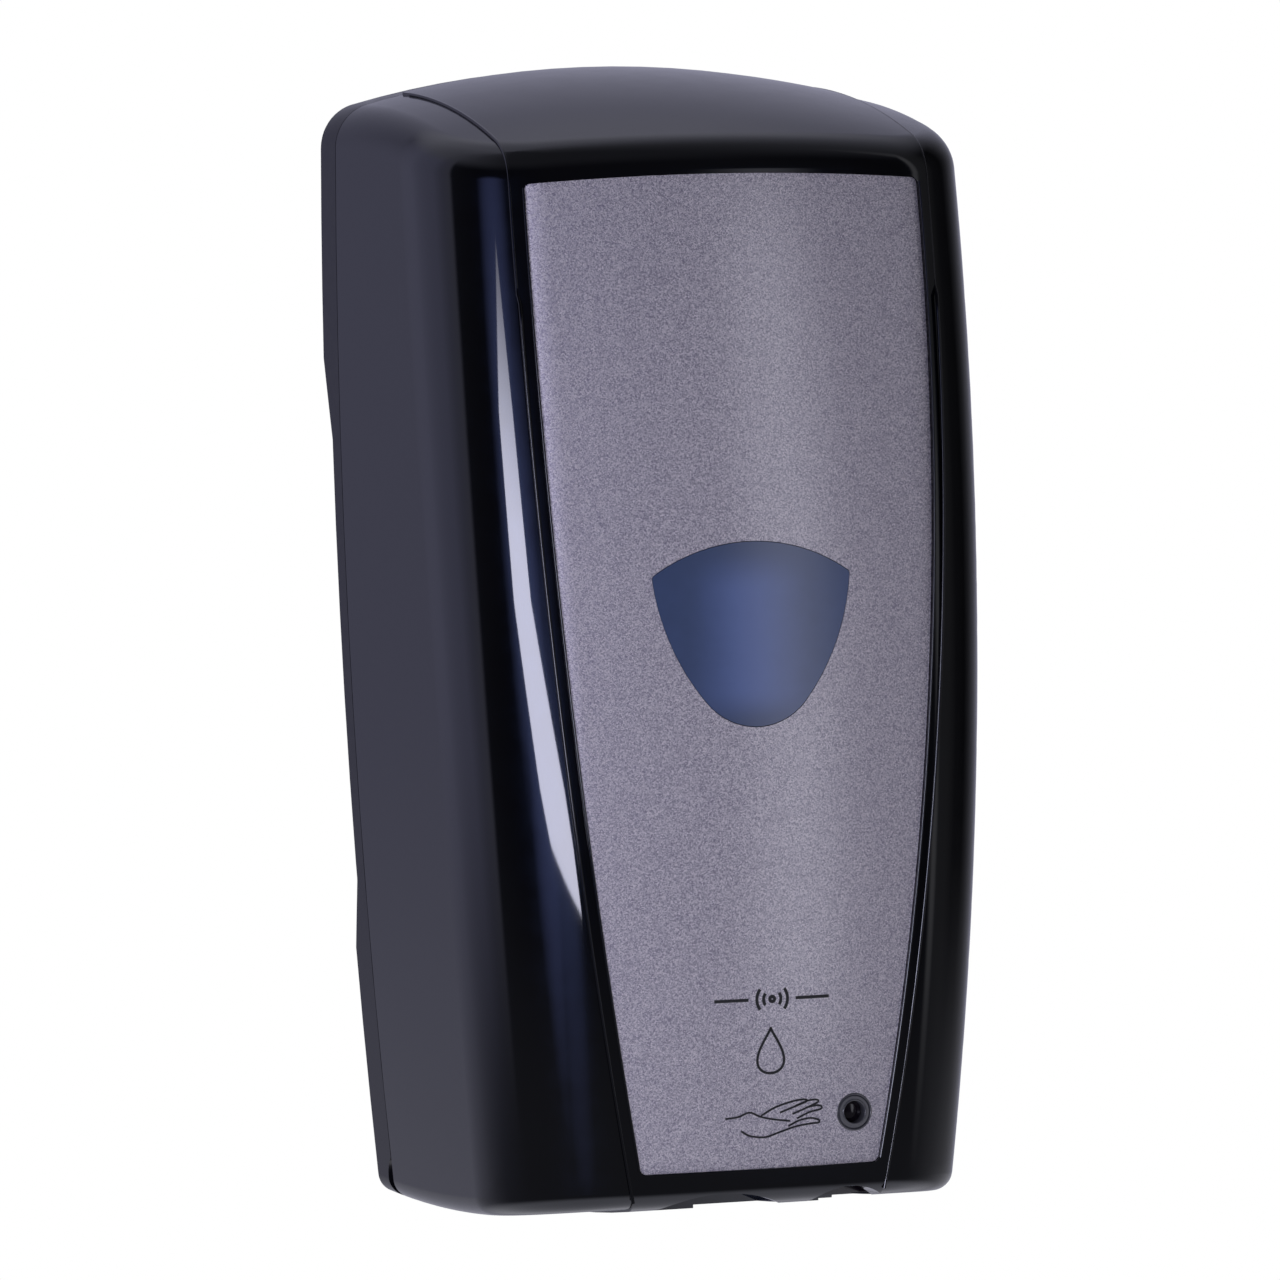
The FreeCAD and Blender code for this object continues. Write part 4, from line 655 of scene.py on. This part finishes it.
def hand_lines():
    """An open hand under the nozzle, palm up, with the fingers to the right."""
    wrist = [(-9.4, -111.2), (-6.2, -110.9), (-3.3, -110.0), (-0.6, -111.1), (2.8, -111.9), (7.0, -112.5)]
    palm = [(-5.4, -114.3), (-3.2, -115.5), (0.6, -116.0), (4.4, -115.0), (8.4, -113.9), (12.4, -113.4),
            (14.3, -113.3), (14.5, -112.7), (12.4, -112.1), (9.4, -112.5), (6.6, -113.7)]
    first = [(-0.4, -110.9), (3.2, -109.1), (7.6, -107.9), (10.6, -107.6), (11.2, -108.1), (8.0, -109.2),
             (4.4, -110.4)]
    second = [(8.2, -109.1), (11.4, -108.0), (13.6, -107.8), (14.2, -108.4), (11.0, -109.7), (7.6, -110.9)]
    third = [(11.0, -109.6), (13.6, -109.2), (15.0, -109.4), (14.9, -110.1), (12.0, -110.7), (8.8, -112.0)]
    return [(smooth_line(line), 0.46, False) for line in (wrist, palm, first, second, third)]


def plain_mark():
    """A plain mark: a dot between arcs, with a rule on either side."""
    centre = (2.4, -83.5)
    strokes = [(arc_line(centre, 0.6, 0, 345, 16), 0.8, True)]
    for radius in (2.2, 3.9):
        for middle in (0, 180):
            strokes.append((arc_line(centre, radius, middle - 38, middle + 38), 0.75, False))
    for side in (-1, 1):
        rule = [(centre[0] + side * reach, centre[1]) for reach in (6.0, 14.6)]
        strokes.append((rule, 0.75, False))
    return strokes


inked("drop_mark", [(drop_outline(), 0.6, True)])
inked("hand_mark", hand_lines())
inked("plain_mark", plain_mark())


# ---------------------------------------------------------------- finishes

def finish_material(name, colour, roughness, metallic=0.0, **sockets):
    """A Principled material and its tree; sockets sets constants, with underscores for spaces."""
    made = bpy.data.materials.new(name)
    made.use_nodes = True
    tree = made.node_tree
    shader = tree.nodes["Principled BSDF"]
    shader.inputs["Base Color"].default_value = (*colour, 1.0)
    shader.inputs["Roughness"].default_value = roughness
    shader.inputs["Metallic"].default_value = metallic
    for socket, value in sockets.items():
        shader.inputs[socket.replace("_", " ")].default_value = value
    return made, tree, shader


def own_place(tree):
    """Places on the piece itself, in metres, which move with it."""
    return new_node(tree, "ShaderNodeTexCoord").outputs["Object"]


def noise(tree, size, detail=2.0, stretch=None):
    """Smooth noise from 0 to 1, with features of that size in metres."""
    place = own_place(tree)
    if stretch is not None:
        squeezed = new_node(tree, "ShaderNodeVectorMath", operation="MULTIPLY")
        feed(tree, squeezed.inputs[0], place)
        feed(tree, squeezed.inputs[1], stretch)
        place = squeezed.outputs[0]
    made = new_node(tree, "ShaderNodeTexNoise")
    feed(tree, made.inputs["Vector"], place)
    made.inputs["Scale"].default_value = 1.0 / size
    made.inputs["Detail"].default_value = detail
    return made.outputs[0]


def cells(tree, size, output="Color"):
    made = new_node(tree, "ShaderNodeTexVoronoi")
    feed(tree, made.inputs["Vector"], own_place(tree))
    made.inputs["Scale"].default_value = 1.0 / size
    return made.outputs[output]


def relief(tree, shader, height, depth, strength=1.0):
    """Raises the surface by a height from 0 to 1, to a depth in metres."""
    bump = new_node(tree, "ShaderNodeBump")
    bump.inputs["Strength"].default_value = strength
    bump.inputs["Distance"].default_value = depth
    feed(tree, bump.inputs["Height"], height)
    feed(tree, shader.inputs["Normal"], bump.outputs[0])


def shade_between(tree, shader, factor, first, second):
    feed(tree, shader.inputs["Base Color"], mixed(tree, factor, (*first, 1.0), (*second, 1.0)))


def scaled(colour, share):
    return tuple(min(1.0, part * share) for part in colour)


def gloss_black():
    made, tree, shader = finish_material("black_gloss", (0.0016, 0.0016, 0.0024), 0.2,
                                         Coat_Weight=1.0, Coat_Roughness=0.035, Coat_IOR=1.5,
                                         Specular_IOR_Level=0.08, Specular_Tint=(0.35, 0.5, 1.0, 1.0))
    shade_between(tree, shader, noise(tree, 0.03), (0.0009, 0.0009, 0.0014), (0.0015, 0.0015, 0.0023))
    feed(tree, shader.inputs["Roughness"], fade(tree, noise(tree, 0.006, 4), 0.3, 0.7, 0.17, 0.24))
    relief(tree, shader, noise(tree, 0.004, 1), 0.000004)
    return made


def satin_black():
    made, tree, shader = finish_material("black_satin", (0.004, 0.004, 0.006), 0.2, IOR=1.5)
    shade_between(tree, shader, noise(tree, 0.02), (0.003, 0.003, 0.0045), (0.005, 0.005, 0.007))
    feed(tree, shader.inputs["Roughness"], fade(tree, noise(tree, 0.003, 3), 0.3, 0.7, 0.14, 0.22))
    relief(tree, shader, noise(tree, 0.0006, 2), 0.00001, 0.3)
    return made


def silver_lacquer():
    """Metallic lacquer: violet grey, with fine flakes that differ in tone and tilt, under a clear coat."""
    made, tree, shader = finish_material("panel_silver", (0.5, 0.49, 0.58), 0.5, 0.85, Coat_Weight=1.0,
                                         Coat_Roughness=0.1, Coat_IOR=1.5, IOR=1.5)
    flake = cells(tree, 0.00026)
    parts = new_node(tree, "ShaderNodeSeparateColor")
    feed(tree, parts.inputs[0], flake)
    cloud = fade(tree, noise(tree, 0.0009, 2), 0.3, 0.7)
    share = maths(tree, "MULTIPLY_ADD", cloud, 0.1, maths(tree, "MULTIPLY", parts.outputs[0], 0.9))
    shade_between(tree, shader, share, (0.285, 0.262, 0.352), (1.0, 0.945, 1.0))
    tilt = new_node(tree, "ShaderNodeVectorMath", operation="MULTIPLY_ADD")
    feed(tree, tilt.inputs[0], flake)
    feed(tree, tilt.inputs[1], (0.12, 0.12, 0.12))
    feed(tree, tilt.inputs[2], (-0.06, -0.06, -0.06))
    leaning = new_node(tree, "ShaderNodeVectorMath", operation="ADD")
    feed(tree, leaning.inputs[0], new_node(tree, "ShaderNodeNewGeometry").outputs["Normal"])
    feed(tree, leaning.inputs[1], tilt.outputs[0])
    level = new_node(tree, "ShaderNodeVectorMath", operation="NORMALIZE")
    feed(tree, level.inputs[0], leaning.outputs[0])
    feed(tree, shader.inputs["Normal"], level.outputs[0])
    return made


def smoke_window():
    """Tinted window with painted light: lighter in its middle, where the reservoir stands close behind it, as
    a painted glow of the lit reservoir, and painted shade towards its top and bottom edges.
    """
    made, tree, shader = finish_material("smoke_window", (0.05, 0.085, 0.16), 0.28,
                                         Coat_Weight=0.6, Coat_Roughness=0.08, IOR=1.5)
    parts = new_node(tree, "ShaderNodeSeparateXYZ")
    feed(tree, parts.inputs[0], own_place(tree))
    levels = [corner[2] for corner in frame["nodes"]["sight_window"].bound_box]
    # Painted light: the colour is lightened near the middle to stand in for the lit reservoir seen through
    # the window, with slight random unevenness. The lightening fades out towards the top and bottom edges as
    # painted shade.
    off_middle = maths(tree, "ABSOLUTE", maths(tree, "ADD", parts.outputs[0], 0.001))
    middle = fade(tree, off_middle, 0.001, 0.017, 1.0, 0.0)
    painted_glow_share = maths(tree, "MULTIPLY_ADD", noise(tree, 0.004), 0.2, maths(tree, "MULTIPLY", middle, 0.9))
    painted_glow_share = maths(tree, "MULTIPLY", painted_glow_share, fade(tree, parts.outputs[2], max(levels), max(levels) - 0.012))
    painted_glow_share = maths(tree, "MULTIPLY", painted_glow_share, fade(tree, parts.outputs[2], min(levels), min(levels) + 0.009))
    shade_between(tree, shader, painted_glow_share, (0.046, 0.074, 0.160), (0.096, 0.150, 0.345))
    relief(tree, shader, noise(tree, 0.003, 1), 0.00001)
    return made


def plastic(name, colour, roughness=0.45, grain=0.0008, depth=0.00003, spread=0.18, **sockets):
    """Moulded plastic: a fine grain, slight unevenness of colour and of gloss."""
    made, tree, shader = finish_material(name, colour, roughness, **sockets)
    shade_between(tree, shader, noise(tree, 0.012, 3),
                  scaled(colour, 1 - spread), scaled(colour, 1 + spread))
    feed(tree, shader.inputs["Roughness"],
         fade(tree, noise(tree, 0.004, 3), 0.3, 0.7, roughness * 0.82, min(1.0, roughness * 1.2)))
    relief(tree, shader, noise(tree, grain, 2), depth, 0.6)
    return made


def metal(name, colour, roughness=0.28, stretch=(1, 1, 1), grain=0.0006, depth=0.00001, **sockets):
    """Metal with drawn or turned lines, which run along the axis with the small stretch."""
    made, tree, shader = finish_material(name, colour, roughness, 1.0, **sockets)
    lines = noise(tree, grain, 3, stretch)
    shade_between(tree, shader, noise(tree, 0.008, 3), scaled(colour, 0.82), scaled(colour, 1.12))
    feed(tree, shader.inputs["Roughness"], fade(tree, lines, 0.3, 0.7, roughness * 0.7, roughness * 1.35))
    relief(tree, shader, lines, depth, 0.5)
    return made


def circuit_green():
    """Solder resist with copper tracks under it."""
    made, tree, shader = finish_material("board_green", (0.02, 0.17, 0.08), 0.35, IOR=1.5)
    tracks = new_node(tree, "ShaderNodeTexBrick")
    feed(tree, tracks.inputs["Vector"], own_place(tree))
    tracks.inputs["Scale"].default_value = 160.0
    shade_between(tree, shader, tracks.outputs["Fac"], (0.015, 0.13, 0.06), (0.05, 0.26, 0.12))
    relief(tree, shader, tracks.outputs["Fac"], 0.00004, 0.5)
    return made


FINISHES = {
    "black_gloss": gloss_black,
    "black_satin": satin_black,
    "panel_silver": silver_lacquer,
    "smoke_window": smoke_window,
    "bezel_grey": lambda: plastic("bezel_grey", (0.055, 0.055, 0.064), 0.35, Coat_Weight=0.6,
                                  Coat_Roughness=0.12),
    "dark_lens": lambda: plastic("dark_lens", (0.006, 0.004, 0.007), 0.12, depth=0.000004),
    "steel": lambda: metal("steel", (0.62, 0.63, 0.65), 0.22),
    "zinc_steel": lambda: metal("zinc_steel", (0.66, 0.67, 0.66), 0.34),
    "lock_metal": lambda: metal("lock_metal", (0.72, 0.72, 0.74), 0.2),
    "brass": lambda: metal("brass", (0.78, 0.60, 0.28), 0.24),
    "nickel_leaf": lambda: metal("nickel_leaf", (0.70, 0.69, 0.66), 0.26),
    "frame_grey": lambda: plastic("frame_grey", (0.16, 0.17, 0.19), 0.5),
    "tank_clear": lambda: plastic("tank_clear", (0.80, 0.84, 0.87), 0.38, spread=0.03,
                                  Subsurface_Weight=0.25),
    "cap_blue": lambda: plastic("cap_blue", (0.10, 0.20, 0.40), 0.42),
    "silicone": lambda: plastic("silicone", (0.80, 0.80, 0.78), 0.5),
    "seal_rubber": lambda: plastic("seal_rubber", (0.02, 0.02, 0.02), 0.6),
    "cell_jacket": lambda: plastic("cell_jacket", (0.10, 0.16, 0.26), 0.3, depth=0.00001),
    "battery_case": lambda: plastic("battery_case", (0.03, 0.03, 0.036), 0.45),
    "gear_nylon": lambda: plastic("gear_nylon", (0.80, 0.79, 0.72), 0.42),
    "pump_plastic": lambda: plastic("pump_plastic", (0.62, 0.63, 0.66), 0.42),
    "motor_can": lambda: metal("motor_can", (0.55, 0.56, 0.58), 0.3, (1, 0.05, 1)),
    "board_green": circuit_green,
    "component_black": lambda: plastic("component_black", (0.012, 0.012, 0.014), 0.5),
    "led_clear": lambda: plastic("led_clear", (0.6, 0.12, 0.1), 0.1, depth=0.000004),
    "lead_red": lambda: plastic("lead_red", (0.45, 0.03, 0.025), 0.35),
}
MATERIALS = {slot_name: make() for slot_name, make in FINISHES.items()}
NODE_SLOTS = {part["node"]: part["material_slot"] for part in frame["record"]["subparts"]}


def paint(thing, slot_name):
    thing.data.materials.clear()
    thing.data.materials.append(MATERIALS[slot_name])


for node_name, thing in frame["nodes"].items():
    paint(thing, NODE_SLOTS[node_name])
for thing in bpy.data.objects:
    if thing.type == "MESH" and "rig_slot" in thing:
        paint(thing, thing["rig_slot"])
